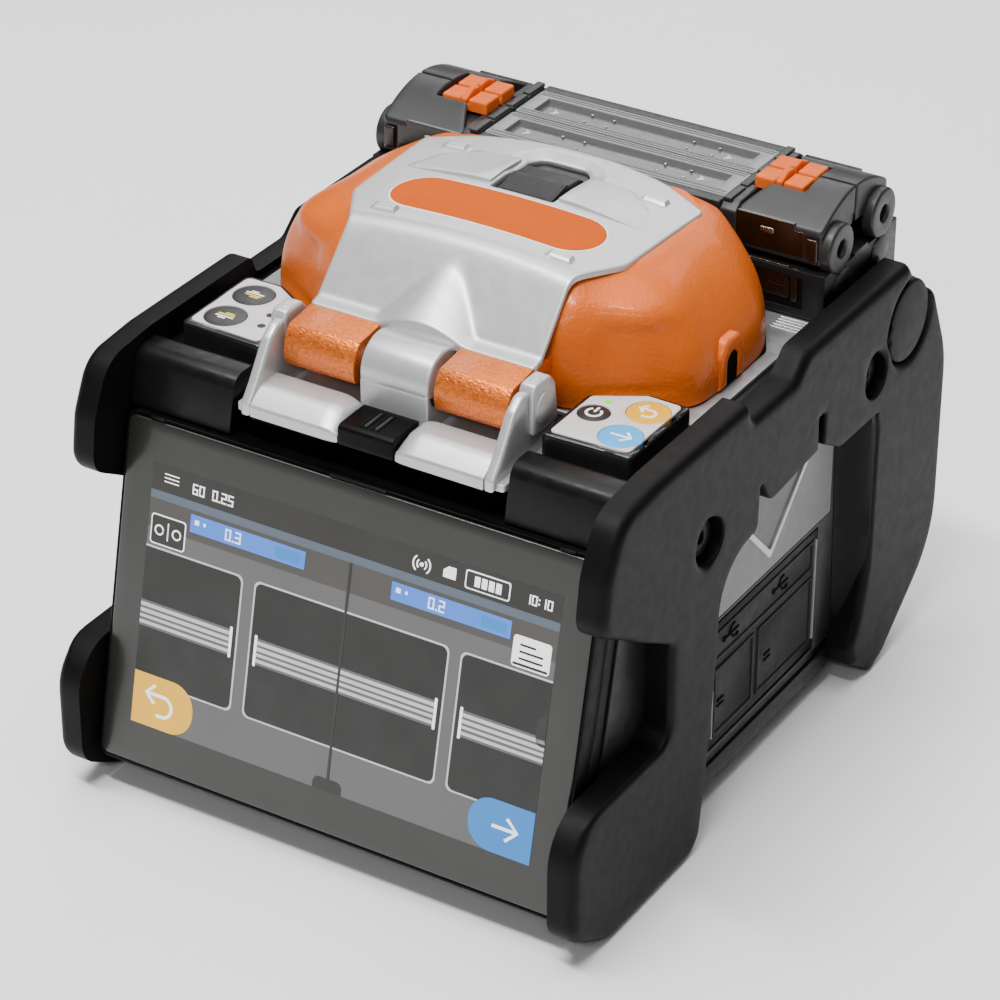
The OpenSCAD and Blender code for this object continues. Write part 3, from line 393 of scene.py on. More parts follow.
def loft_mesh(rings):
    """A closed skin through rings of equal length."""
    n = len(rings[0])
    verts = [tuple(p) for ring in rings for p in ring]
    faces = []
    for k in range(len(rings) - 1):
        for i in range(n):
            j = (i + 1) % n
            faces.append((k * n + i, k * n + j, (k + 1) * n + j, (k + 1) * n + i))
    faces.append(tuple(range(n - 1, -1, -1)))
    faces.append(tuple((len(rings) - 1) * n + i for i in range(n)))
    return verts, faces


def refine(node, width=0.25, segments=2, look=None, sharp=38):
    """The CAD solid as a cleaner mesh with rounded edges."""
    bm = bmesh.new()
    bm.from_mesh(frame["nodes"][node].data)
    bmesh.ops.remove_doubles(bm, verts=bm.verts, dist=2e-6)
    bmesh.ops.dissolve_limit(bm, angle_limit=math.radians(0.4), verts=bm.verts, edges=bm.edges)
    bmesh.ops.recalc_face_normals(bm, faces=bm.faces)
    edges = [e for e in bm.edges if e.is_manifold and e.calc_face_angle(0) > math.radians(34)]
    bmesh.ops.bevel(bm, geom=edges, offset=width * MM, segments=segments, affect="EDGES", profile=0.5,
                    clamp_overlap=True)
    mesh = bpy.data.meshes.new(node + ".fine")
    bm.to_mesh(mesh)
    bm.free()
    mesh.shade_smooth()
    mesh.set_sharp_from_angle(angle=math.radians(sharp))
    slot = SLOT_OF[node]
    mesh.materials.clear()
    mesh.materials.append(LOOK[look or slot])
    piece = bpy.data.objects.new(node + ".fine", mesh)
    bpy.context.scene.collection.objects.link(piece)
    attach(piece, BODY_OF[node])
    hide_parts(node)


def basis(u, v, w, origin=(0, 0, 0)):
    m = Matrix.Identity(4)
    for k, axis in enumerate((u, v, w, origin)):
        for i in range(3):
            m[i][k] = axis[i]
    return m


ALONG_X = basis((0, 1, 0), (0, 0, 1), (1, 0, 0))
ALONG_X_LEFT = basis((0, 1, 0), (0, 0, 1), (-1, 0, 0))
SIDES = (ALONG_X, ALONG_X_LEFT)
FRONT = basis((1, 0, 0), (0, 0, 1), (0, -1, 0))
LEFT = Matrix.Scale(-1, 4, (1, 0, 0))
MIRRORS = (Matrix.Identity(4), LEFT)
TILT = math.radians(12.4)
GLASS_FOOT = (0, -83.3, 9.9)
GLASS = basis((1, 0, 0), (0, math.sin(TILT), math.cos(TILT)), (0, -math.cos(TILT), math.sin(TILT)),
              GLASS_FOOT)
# the case's side face, the outer face of the protectors, the deck, the hood's rim and crown
CASE_X, PROTECTOR_X, DECK_Z, HOOD_RIM, HOOD_CROWN = 63, 70, 102.2, 104, 131.6


def smooth(t):
    t = np.clip(t, 0, 1)
    return t * t * (3 - 2 * t)


def bar_mesh(points, width, z0, z1, edge=0.05):
    """A flat stroke of the given width along a line of points."""
    p = np.array(points, float)
    along = np.gradient(p, axis=0)
    along /= np.linalg.norm(along, axis=1)[:, None]
    side = np.stack([-along[:, 1], along[:, 0]], 1) * width / 2
    return slab_mesh(np.concatenate([p - side, (p + side)[::-1]]), z0, z1, edge=edge, pitch=2.5, rings=2)


def arc_points(x, y, r, a0, a1, steps=20):
    t = np.radians(np.linspace(a0, a1, steps))
    return np.stack([x + r * np.cos(t), y + r * np.sin(t)], 1)


# ---------- protectors ----------

OUTER = [[-31.5, 0, 6], [-73, 0, 14], [-88.5, 9, 8], [-88.5, 38.5, 12], [-47, 38.5, 5], [-47, 64, 3],
         [-78.3, 82.5, 6], [-76.5, 95, 12], [-70.5, 107.5, 10], [-54, 109, 8], [-14.5, 109, 2],
         [-12.5, 104, 2], [7, 104, 4], [13, 109, 4],
         [64, 109, 3], [72, 98, 4], [79.5, 95.5, 5], [88.5, 75, 30], [88.5, 22, 26]]
HOOKS = [[22.5, 80.5, 0.8], [22.8, 88.7, 0.8], [19.4, 88.7, 0.8], [19.6, 80.4, 0.8], [-3.5, 78.5, 4],
         [-8.5, 86.5, 0.6], [-9, 73.5, 2.5], [-25.5, 75, 14], [-26.5, 50, 4]]


def protector_edge(x, y):
    """Generous rounding outside, crisp around the window and the notch."""
    window = smooth((x + 34) / 6) * smooth((60 - x) / 6) * smooth((93 - y) / 6)
    notch = smooth((-44 - x) / 5) * smooth((x + 90) / 8) * smooth((y - 34) / 4) * smooth((76 - y) / 4)
    step = smooth((x - 40) / 2) * smooth((53 - x) / 2) * smooth((74 - y) / 3)
    return 2.6 - 2.0 * np.maximum(window, notch * 0.6) * (1 - 0.75 * step)


def protector(place, name):
    steps = [[61, 0.4, 8], [54, 0.6, 4], [45.4, 6.6, 2], [43.0, 12.5, 3], [46.8, 19, 8], [50.2, 33, 12],
             [50.4, 62, 10],
             [50.6, 75.3, 0.5], [31.1, 75.6, 0.4]]
    main = slab_mesh(rounded(OUTER + steps + HOOKS, 8), CASE_X, PROTECTOR_X, edge=protector_edge, pitch=2.2,
                     rings=6,
                     holes=[disc(-31, 82.5, 5.5), disc(48.5, 86, 5.5), disc(65.5, 93, 10.5, 64)])
    # the front of the rear leg slopes from the case up to the outer face
    thin = slab_mesh([[45.6, 6.8], [50, 6.8], [54.4, 20], [55, 76.6], [31.5, 76.6], [42.1, 75.6],
                      [42.5, 70]], 62.9, 0,
                     edge=0.03, rise=lambda y, z: 63.15 + np.clip(y - 46.9 + 0.063 * z, 0, 6.3), pitch=2)
    floors = [slab_mesh(disc(y, z, 5.6), CASE_X, 64.5, edge=0.1, holes=[disc(y, z, 2.6, 24)])
              for y, z in ((-31, 82.5), (48.5, 86))]
    boss = slab_mesh(disc(65.5, 93, 10.3, 64), CASE_X, 69.95, edge=0.7, pitch=2.5,
                     rise=lambda y, z: -0.004 * ((y - 65.5) ** 2 + (z - 93) ** 2))
    slits = [slab_mesh(rounded([[53, 93.5, 0.2], [55.2, 96.6, 0.2], [56, 95.4, 0.2], [54.6, 93.5, 0.2],
                                [56, 91.4, 0.2], [55.2, 90.4, 0.2]]), 69.6, PROTECTOR_X, edge=0.05)]
    merge(name + "_hole_floors", floors + slits, "chassis", "protector_rubber", "gasket_rubber", place=place)
    merge(name, [main, thin, boss], "chassis", "protector_rubber", place=place)


protector(ALONG_X, "protector_right")
protector(ALONG_X_LEFT, "protector_left")
refine("protector_screws", 0.3, look="dark_steel")

# ---------- case and monitor ----------

refine("main_case", 0.5, 3)
refine("base_tray", 0.4)
refine("deck_plate", 0.25)
for name in ("tripod_bush", "case_screws", "port_panel", "main_board", "power_board", "battery_latch",
             "dc_inlet",
             "fan_frame", "fan_rotor", "hood_hinge_pin", "hood_gasket", "hood_fiber_clamps", "splice_base",
             "v_groove_blocks", "electrode_holders", "electrodes", "objective_lenses", "microscope_tubes",
             "alignment_motors", "led_lamps", "sheath_clamp_bases", "sheath_clamp_left",
             "sheath_clamp_right",
             "heater_plates", "lcd_panel"):
    refine(name, 0.15)
refine("battery_pack", 0.5, 3)
refine("monitor_back", 0.6, 3)
refine("monitor_bezel", 0.25)
refine("port_door", 0.3)
refine("side_panel_left", 0.15)
refine("side_panel_right", 0.15)
ridge = rounded([[-7.6, 72.4, 0.3], [10.3, 54.0, 0.8], [28.6, 72.4, 0.3], [26.3, 72.4, 0.3],
                 [10.3, 56.5, 0.8],
                 [-5.5, 72.4, 0.3]], 4)
for word, turned in (("left", ALONG_X_LEFT), ("right", ALONG_X)):
    slab("side_ridge_" + word, ridge, 62.9, 63.65, "chassis", "side_grey", "silver_paint", place=turned,
         edge=0.35)

# generic connector symbols, and light strips along the door's edges as painted highlights, sunk a little into
# its face
DOOR_SINK, SYMBOL_TOP, STRIP_TOP = 62.9, 63.2, 63.5
symbols = []
for y in (-9.5, 14.5):
    symbols += [bar_mesh(p, 0.5, DOOR_SINK, SYMBOL_TOP) for p in (
        [(y, 43), (y + 6.5, 43)], [(y + 1.6, 43), (y + 3.2, 44.9), (y + 4.6, 44.9)],
        [(y + 2.6, 43), (y + 4, 41.3), (y + 5.2, 41.3)])]
    symbols += [slab_mesh(disc(y - 0.4, 43, 0.8, 20), DOOR_SINK, SYMBOL_TOP, edge=0.05),
                slab_mesh(box2(y + 5.2, 40.8, y + 6.2, 41.8), DOOR_SINK, SYMBOL_TOP, edge=0.05)]
for y in (-12.4, 10.4):
    symbols += [slab_mesh(box2(y, z, y + 3, z + 0.5), DOOR_SINK, SYMBOL_TOP, edge=0.05) for z in (25.5, 27)]
merge("door_symbols", symbols, "door", "door_plastic", "gasket_rubber", place=ALONG_X)
# light grey strips: painted highlights standing for the bright lines along the door's left and right edges
highlight_strips = [slab_mesh(box2(34.3, 18.6, 35, 46.8, 0.3), DOOR_SINK, STRIP_TOP, edge=0.2),
          slab_mesh(box2(-15.8, 18.4, -15.1, 32, 0.3), DOOR_SINK, STRIP_TOP, edge=0.2)]
merge("door_edge_highlights", highlight_strips, "door", "door_plastic", "side_grey", place=ALONG_X)

# cover glass, with the lit display as thin layers on its front face
slab("touch_glass", box2(-61.7, 0, 61.7, 84, 2, 6), -1.1, 0, "chassis",
     "touch_glass", place=GLASS, edge=0.5, pitch=6)
# half the lit width, its lower and its upper edge, and how high each layer stands on the glass
LIT_X, LIT_LOW, LIT_HIGH = 54, 10.3, 74.5
GROUND_Z, BAND_Z, RIM_Z, VIEW_Z, HAZE_Z, FIBER_Z, END_Z = 0.02, 0.04, 0.06, 0.08, 0.10, 0.12, 0.13


def film(outline, top, pitch=8):
    return slab_mesh(outline, 0, top, edge=0.01, rings=1, pitch=pitch)


for name, low, high, top in (("ground", LIT_LOW, LIT_HIGH, GROUND_Z), ("band", 58.9, 66, BAND_Z),
                             ("bar", 68, LIT_HIGH, BAND_Z), ("strip", 66, 68, BAND_Z)):
    merge("screen_" + name, [film(box2(-LIT_X, low, LIT_X, high), top)], "chassis", "display", "lit_" + name,
          place=GLASS)
VIEWS = [(-54, -27.5, 0, 3), (-23.5, 27.4, 3, 3), (31.2, 54, 3, 0)]
rims, views, haze, bands, ends = [], [], [], [], []
for x0, x1, r0, r1 in VIEWS:
    def frame_outline(grow):
        a, b = x0 - (grow if r0 else 0), x1 + (grow if r1 else 0)
        left, right = 1.6 if r0 else 0, 1.6 if r1 else 0
        return box2(a, 21.4 - grow, b, 54 + grow, (left, right, right, left), 5)
    rims.append(film(frame_outline(0.45), RIM_Z))
    views.append(film(frame_outline(0), VIEW_Z))
    a, b = x0 + (1.4 if r0 else 0), x1 - (1.4 if r1 else 0)
    haze.append(film(box2(a, 34.5, b, 40.9), HAZE_Z))
    for low, high in ((35.1, 35.9), (36.6, 37.3), (37.9, 38.8), (39.4, 40.3)):
        bands.append(film(box2(a, low, b, high), FIBER_Z))
    for x, r in ((a, r0), (b, r1)):
        if r:
            ends.append(film(box2(x - 0.35, 34, x + 0.35, 41.6, 0.3), END_Z))
for name, group, look in (("screen_view_rims", rims, "lit_rim"), ("screen_views", views, "lit_view"),
                          ("screen_haze", haze, "lit_haze"),
                          ("screen_fibers", bands, "lit_fiber"), ("screen_fiber_ends", ends, "lit_white")):
    merge(name, group, "chassis", "display", look, place=GLASS)

marks = {"lit_white": [], "lit_blue": [], "lit_bar": [], "lit_next": [], "lit_back": [], "mark_dark": []}


def mark(outline, level=0.14, look="lit_white"):
    marks[look].append(film(outline, level, 6))


def stroke(points, width, level=0.16, look="lit_white"):
    marks[look].append(bar_mesh(points, width, 0, level, edge=0.01))


SEGMENTS = {"0": "abcdef", "1": "bc", "2": "abged", "3": "abgcd", "5": "afgcd", "6": "afgedc",
            "8": "abcdefg"}


def digit(char, x, y, h):
    """A generic seven-segment digit."""
    w, t = h * 0.5, h * 0.15
    ends_ = {"a": (0, h, w, h), "b": (w, h / 2, w, h), "c": (w, 0, w, h / 2), "d": (0, 0, w, 0),
             "e": (0, 0, 0, h / 2), "f": (0, h / 2, 0, h), "g": (0, h / 2, w, h / 2)}
    for s in SEGMENTS[char]:
        x0, y0, x1, y1 = ends_[s]
        mark(box2(x + x0 - t / 2, y + y0 - t / 2, x + x1 + t / 2, y + y1 + t / 2), 0.16)


def number(text, x, y, h):
    for char in text:
        if char in ".:":
            for dy in ([0] if char == "." else [h * 0.25, h * 0.75]):
                mark(box2(x - h * 0.09, y + dy - h * 0.09, x + h * 0.09, y + dy + h * 0.09), 0.16)
            x += h * 0.3
        else:
            digit(char, x, y, h)
            x += h * 0.82


for k in range(3):
    mark(box2(-50.6, 70.5 + 0.9 * k, -46.6, 70.75 + 0.9 * k))
number("60", -42.6, 69.9, 2.2)
number("0.25", -37.2, 69.9, 2.2)
number("10:10", 45, 70.2, 2.0)
for x, y, w in ((-42.6, 60.7, 31.2), (11.5, 60.7, 30.8)):
    mark(box2(x, y, x + w, y + 4.3), 0.12, "lit_blue")
    mark(box2(x + 1.2, y + 2.0, x + 2.4, y + 3.2))
    mark(box2(x + 3.6, y + 2.2, x + 4.2, y + 3.0))
    number("0.3" if x < 0 else "0.2", x + 9.8, y + 1.0, 2.4)
    mark(box2(x + 23.2, y + 0.8, x + 29.8, y + 3.4), 0.14, "lit_next")
for x in (-53.2, 43.2):
    mark(box2(x, 55.1, x + 9.6, 62.4, 0.8), 0.12)
    mark(box2(x + 0.3, 55.4, x + 9.3, 62.1, 0.6), 0.14, "lit_bar" if x < 0 else "lit_white")
stroke([(-48.4, 56.6), (-48.4, 60.9)], 0.3)
for x in (-50.8, -46.0):
    stroke(arc_points(x, 58.7, 1.1, 0, 350, 24), 0.4)
for end, y in ((51, 57.2), (51, 58.8), (49, 60.4)):
    stroke([(45, y), (end, y)], 0.5, 0.17, "mark_dark")
mark(box2(43.6, 55.5, 52.4, 56.1), 0.16, "mark_dark")
mark(box2(0.2, 12, 0.85, 66), 0.15, "lit_bar")
mark(box2(-3.4, LIT_LOW, 4.3, 13.3, (0, 0, 1.6, 1.6)), 0.12, "lit_bar")
mark(box2(51.6, 38.6, LIT_X, 45.8, (1.6, 0, 0, 1.6)), 0.12, "lit_bar")
mark(box2(-LIT_X, LIT_LOW, -37.2, 23.2, (0, 6, 6, 0), 8), 0.12, "lit_back")
mark(box2(37.4, LIT_LOW, LIT_X, 23, (6, 0, 0, 6), 8), 0.12, "lit_next")
stroke([(-50.2, 18.6), (-45.6, 18.6)], 0.8)
stroke(arc_points(-45.6, 16.1, 2.5, 90, -90, 14), 0.8)
stroke([(-45.6, 13.6), (-47.2, 13.6)], 0.8)
stroke([(-48.0, 20.9), (-50.4, 18.6), (-48.0, 16.3)], 0.8)
stroke([(43.6, 16.7), (50.0, 16.7)], 0.8)
stroke([(47.2, 19.4), (50.1, 16.7), (47.2, 14.0)], 0.8)
for r in (1.2, 2.2):
    stroke(arc_points(18.4, 71, r, 130, 230, 8), 0.35)
    stroke(arc_points(18.4, 71, r, -50, 50, 8), 0.35)
mark(disc(18.4, 71, 0.5, 16), 0.16)
mark(rounded([[24, 69.9, 0], [27.2, 69.9, 0], [27.2, 72.6, 0], [25.2, 72.6, 0], [24, 71.6, 0]]), 0.16)
mark(box2(29.6, 69, 41, 73.4, 0.6), 0.12)
mark(box2(29.9, 69.3, 40.7, 73.1, 0.5), 0.14, "lit_bar")
for k in range(4):
    mark(box2(32 + 1.8 * k, 70, 33.4 + 1.8 * k, 72.4), 0.16)
for look, group in marks.items():
    merge("screen_marks_" + look, group, "chassis", "display", look, place=GLASS)

# ---------- hinge bracket ----------

AXIS_Y, AXIS_Z, BARREL = -43, 110.5, 7.6


def arc_yz(r, a0, a1, steps=16):
    return [[AXIS_Y + r * math.cos(math.radians(a)), AXIS_Z + r * math.sin(math.radians(a)), 0]
            for a in np.linspace(a0, a1, steps)]


def foot_pad():
    """A low pad with a rounded front, drawn in conically beside the dark insert."""
    rings = []
    for x in [7.6, 8.4, 9.4, 10.4, 11.4, 12.2, 12.8, 14, 20, 26, 30.4]:
        t = min(1, max(0, (x - 7.6) / 5.0))
        cone = math.sqrt(max(0, 1 - (1 - t) ** 2))
        top = 102.2 + 2.8 * cone
        front = -62.3 + 0.5 * (1 - cone)
        profile = rounded([[front, 98.9, 0], [front, 100.9 + 0.6 * cone, 1.2],
                           [-57.6 + 1.6 * (1 - cone), top, 4],
                           [-50.6, top, 1.2], [-50.6, 98.9, 0]], 7)
        rings.append([(x, p[0], p[1]) for p in profile])
    return loft_mesh(rings)


flank = rounded([[-62.3, 98.9, 0], [-62.3, 101.6, 1.2], [-59.2, 105.4, 5], [-53.4, 114.2, 4],
                 [-50.2, 116.6, 2],
                 [-47.4, 116.8, 1], [-47.4, 110, 0], [-40, 106, 0], [-36.6, 106, 1], [-35.4, 98.9, 0]], 7)
head = rounded([[-47.8, 106, 1], [-47.8, 116.6, 1.6], [-46.8, 118.3, 1.4], [-40.8, 118.3, 1.6],
                [-38.6, 115.8, 1.6],
                [-37.2, 106, 1]], 6)
pad = foot_pad()
strip = slab_mesh(box2(-35, -61, 35, -34, 1), 98.9, 100.6, edge=0.3, pitch=6)
knuckle_top = slab_mesh(np.array([p[:2] for p in arc_yz(BARREL, -8, 222, 30)]), -8.9, 8.9, edge=0.7,
                        both=True)
knuckle_low = slab_mesh(rounded([[-50.55, 99.9, 0], [-50.55, 109.35, 0.15], [-38.6, 109.35, 0],
                                 [-38.6, 99.9, 0]]),
                        -8.9, 8.9, edge=0.5, both=True)
parts = [(*strip, None), (*knuckle_top, ALONG_X), (*knuckle_low, ALONG_X)]
for side in (None, LEFT):
    turned = ALONG_X if side is None else ALONG_X_LEFT
    parts += [(*pad, side), (*slab_mesh(flank, 30.4, 33.2, edge=0.9, both=True, pitch=2), turned),
              (*slab_mesh(head, 30.3, 34.5, edge=0.8, both=True, pitch=2), turned),
              (*slab_mesh(disc(AXIS_Y - 0.4, AXIS_Z + 1.2, 3.6), 34, 34.9, edge=0.45), turned),
              (*slab_mesh(disc(AXIS_Y - 0.4, AXIS_Z + 1.2, 2.4), 34, 35, edge=0.3), turned),
              (*slab_mesh(disc(32.4, -44.0, 1.5, 28), 118.0, 118.4, edge=0.15,
                          holes=[disc(32.4, -44.0, 1.1, 24)]), side),
              (*slab_mesh(box2(31.7, -44.2, 33.1, -43.8, 0.1), 118.0, 118.4, edge=0.05), side)]
merge("hinge_bracket", parts, "chassis", "silver_paint")
block = slab_mesh(rounded([[-62.1, 98.9, 0], [-62.1, 103.2, 1.2], [-60.9, 103.8, 0.6], [-51.3, 103.8, 0.3],
                           [-51.3, 98.9, 0]], 5), -7.3, 7.3, edge=0.4, both=True)
grooves = [slab_mesh(box2(x, -59.6, x + 0.7, -53, 0.2), 103.6, 103.84, edge=0.02) for x in (-1.9, 0.9)]
ribs = [slab_mesh(box2(x, -60.2, x + 0.5, -52.4, 0.2), 103.6, 104.0, edge=0.1) for x in (-2.5, -1.1, 0.3,
                                                                                         1.7)]
merge("bracket_insert", [(*block, ALONG_X), *[(*r, None) for r in ribs]], "chassis", "monitor_plastic")
merge("bracket_insert_grooves", grooves, "chassis", "monitor_plastic", "mark_dark")

# ---------- hood ----------

DOME_LEVELS = [
    (104.0, -30.4, (36.4, -28.4), (48.4, -20.6), (56.2, -13.8), 57.0, (51.0, 28.0), 30.0, 3),
    (108.0, -31.6, (37.0, -27.8), (48.8, -20.3), (56.3, -13.2), 56.9, (50.8, 28.1), 30.0, 5),
    (113.0, -32.0, (37.4, -26.6), (48.8, -19.7), (55.6, -12.8), 56.0, (50.0, 28.3), 30.0, 6),
    (118.0, -31.4, (37.3, -25.1), (48.3, -19.0), (54.0, -12.4), 53.9, (48.2, 28.3), 30.0, 6),
    (122.5, -29.6, (37.0, -23.6), (47.2, -18.4), (51.8, -12.0), 51.0, (45.4, 28.2), 29.9, 6),
    (126.5, -26.8, (36.6, -21.6), (45.4, -17.4), (48.8, -11.0), 47.2, (42.2, 28.1), 29.8, 6),
    (129.5, -23.4, (35.2, -17.6), (41.0, -13.8), (43.6, -8.8), 42.8, (38.8, 28.0), 29.6, 5),
    (131.6, -20.8, (32.4, -12.8), (34.4, -10.2), (36.8, -5.4), 38.0, (34.6, 27.8), 29.4, 5)]


def polar(outline, count):
    """Radius of a star-shaped outline at even angles about the centre."""
    angles = np.arange(count) * 2 * math.pi / count
    a, b = outline, np.roll(outline, -1, 0)
    radii = np.zeros(count)
    for k, t in enumerate(angles):
        d = np.array([math.cos(t), math.sin(t)])
        e = b - a
        den = d[0] * e[:, 1] - d[1] * e[:, 0]
        den[np.abs(den) < 1e-9] = 1e-9
        s = (a[:, 0] * e[:, 1] - a[:, 1] * e[:, 0]) / den
        u = (a[:, 0] * d[1] - a[:, 1] * d[0]) / den
        hit = s[(u >= -1e-6) & (u <= 1 + 1e-6) & (s > 0)]
        radii[k] = hit.max() if len(hit) else 0
    return radii


def dome_rings(count=288, rows=44):
    heights, table = [], []
    for z, nose, c1, c2, c3, side, c4, rear, r in DOME_LEVELS:
        half = [[29.4, nose, 1.5], [*c1, r * 0.8], [*c2, r], [*c3, r], [side, 2, 30], [side - 0.4, 16, r],
                [*c4, r], [36, rear, 4]]
        heights.append(z)
        table.append(polar(rounded(mirrored(half), 8), count))
    table = np.array(table)
    kernel = np.array([1, 4, 6, 4, 1]) / 16
    for _ in range(3):
        padded = np.concatenate([table[:, -2:], table, table[:, :2]], 1)
        table = sum(kernel[k] * padded[:, k:k + table.shape[1]] for k in range(5))
    out = []
    t = np.arange(count) * 2 * math.pi / count
    zs = np.array(heights)
    for z in np.linspace(HOOD_RIM, HOOD_CROWN, rows):
        k = min(len(zs) - 2, int(np.searchsorted(zs, z, "right") - 1))
        u = (z - zs[k]) / (zs[k + 1] - zs[k])
        p = [table[max(0, k - 1)], table[k], table[k + 1], table[min(len(zs) - 1, k + 2)]]
        m1 = (p[2] - p[0]) / (zs[k + 1] - zs[max(0, k - 1)]) * (zs[k + 1] - zs[k])
        m2 = (p[3] - p[1]) / (zs[min(len(zs) - 1, k + 2)] - zs[k]) * (zs[k + 1] - zs[k])
        r = ((2 * u**3 - 3 * u**2 + 1) * p[1] + (u**3 - 2 * u**2 + u) * m1 + (-2 * u**3 + 3 * u**2) * p[2]
             + (u**3 - u**2) * m2)
        x, y = r * np.cos(t), r * np.sin(t)
        # the front corner face is set in a little behind a soft border
        facing = smooth(1 - np.abs((np.abs(x) - 44.5) / 9.5) ** 2) * smooth((-8 - y) / 10)
        r = r - 1.2 * facing * smooth((z - 104.6) / 4) * smooth((124.5 - z) / 4)
        out.append(np.c_[r * np.cos(t), r * np.sin(t), np.full(count, z)])
    return out


# the hood is a shell: its cavity ends at the roof that the fiber clamps hang from
HOOD_WALL = 2.4
CAVITY_ROOF = 128.2


def hollow_rings():
    """Down the inside of the hood from the cavity's roof to the rim, then up the outside."""
    outer = dome_rings()
    inner = []
    for ring in outer:
        if ring[0, 2] <= CAVITY_ROOF:
            keep = 1 - HOOD_WALL / np.hypot(ring[:, 0], ring[:, 1])
            inner.append(np.c_[ring[:, 0] * keep, ring[:, 1] * keep, ring[:, 2]])
    return inner[::-1] + outer


merge("hood_shell", [loft_mesh(hollow_rings())], "hood", "orange_paint", sharp=50)
# barrels with a flat facet on top and the bottom cut flat in front
barrel = rounded([[-38.0, 117.5, 0], *arc_yz(BARREL, 129, 207, 14), [-48.6, 106.5, 0.6], [-44.5, 105.8, 0],
                  [-38, 103.4, 0], [-30, 108.5, 0], [-28, 117, 0]], 3)
merge("hood_barrels", [(*slab_mesh(barrel, 10.4, 29.2, edge=0.35, both=True, pitch=2), turned)
                       for turned in SIDES], "hood", "orange_paint", "orange_knuckle", sharp=16)
arches, slots = [], []
for turned in SIDES:
    arch = rounded([[-5.7, 104, 0], [-5.3, 112, 4], [-2.8, 115.6, 2.4], [2.8, 115.6, 2.4], [5.3, 112, 4],
                    [5.7, 104, 0],
                    [2.3, 104, 0], [2.3, 110.4, 1.2], [0, 112.4, 2.2], [-2.3, 110.4, 1.2], [-2.3, 104, 0]],
                    6)
    arches.append((*slab_mesh(arch, 52, 57.5, edge=1.0, pitch=1.5, rings=5), turned))
    slots.append((*slab_mesh(rounded([[-2.4, 104, 0], [2.4, 104, 0], [2.4, 110.4, 1.2], [0, 112.6, 2.2],
                                      [-2.4, 110.4, 1.2]], 5), 52, 57.1, edge=0.05), turned))
merge("hood_arches", arches, "hood", "orange_paint")
merge("hood_slot_mouths", slots, "hood", "gasket_rubber")


def plate_base(x, y):
    """Crown of the silver plate: a lip in front, the front slope and a nearly flat top, blended softly."""
    lip = 117.6 + (y + 39.4) * 0.25
    slope = 133.3 + (y + 22.9) * 1.11
    crown = 134.5 - 0.00165 * x * x - 0.0012 * np.clip(y - 8, 0, None) ** 2
    k = 1.0
    bent = -k * np.log(np.exp(-(slope - 125) / k) + np.exp(-(crown - 125) / k)) + 125
    return np.where(y < -34, np.maximum(bent, lip), bent)


def plate_top(x, y):
    z = plate_base(x, y)
    # round fairing over the centre knuckle
    t = np.clip((-26.3 - y) / 13.1, 0, 1)
    cone = 129.4 + (y + 26.3) * 0.69 - x * x / (24 * t + 18)
    z = np.where(y < -24, z + 0.3 * np.log1p(np.exp((cone - z) / 0.3)), z)
    for bx, by in ((23, -17.7), (26.6, 18.3)):
        local = smooth((3.4 - np.abs(np.abs(x) - bx)) / 0.7) * smooth((1.55 - np.abs(y - by)) / 0.7)
        z = z + 0.95 * local
    # the plate slopes down into the back of the latch recess
    mouth = to_edge(np.stack([x, y], 1), [latch_mouth(0)])
    z = z - 1.1 * np.clip(1 - mouth / 3.8, 0, 1) * smooth((y - 10) / 6) * smooth((13 - np.abs(x)) / 1.5)
    return np.minimum(z, 134.97)


def latch_mouth(grow):
    return rounded([[-8.3 - grow, 3.2 - grow, 0.8], [8.3 + grow, 3.2 - grow, 0.8], [8.3 + grow, 20.4, 3],
                    [5.8, 23.6 + grow, 3.4], [-5.8, 23.6 + grow, 3.4], [-8.3 - grow, 20.4, 3]], 8)


plate_outline = rounded(mirrored([[29.4, -39.5, 1.2], [29.0, -23.6, 6], [36.0, -11.4, 7], [37.4, 21.2, 2.2],
                                  [24, 27.6, 25], [10, 30, 25]]), 10)
plate = slab_mesh(plate_outline, -1.3, 0, edge=lambda x, y: np.full(len(x), 0.55), holes=[latch_mouth(0)],
                  rise=plate_top, under=plate_base, follow=True, pitch=0.62, rings=4)
wall = slab_mesh(latch_mouth(1.6), -3.2, -1.6, edge=0.05, holes=[latch_mouth(0.15)], rise=plate_base,
                 follow=True,
                 pitch=2)
merge("hood_plate", [plate, wall], "hood", "silver_paint", sharp=42)
slab("hood_latch_floor", latch_mouth(0.4), 131.0, 132.1, "hood", "silver_paint", "latch_plastic", edge=0.05,
     pitch=3)


def land_top(x, y):
    """Raised land beside the latch: a crisp step in front that fades out sideways and backward."""
    lift = np.clip((32.4 - np.abs(x)) / 22.8, 0, 1) * np.clip(1 - (y - 4.6) / 15, 0, 1)
    return np.minimum(plate_base(x, y) + 1.05 * lift - 0.03, 134.98)


lands = []
for side in (None, LEFT):
    land = rounded([[9.0, 4.6, 0.3], [32.2, 3.7, 0.2], [28, 13, 3], [20, 19.4, 3], [9.4, 19.4, 0.5]])
    lands.append((*slab_mesh(land, -1.0, 0, edge=0.12, rise=land_top, under=plate_base, follow=True,
                             pitch=1.3,
                             rings=2), side))
merge("hood_plate_lands", lands, "hood", "silver_paint", sharp=30)


def stadium(hx, hy, cy):
    return box2(-hx, cy - hy, hx, cy + hy, hy - 0.01, 14)


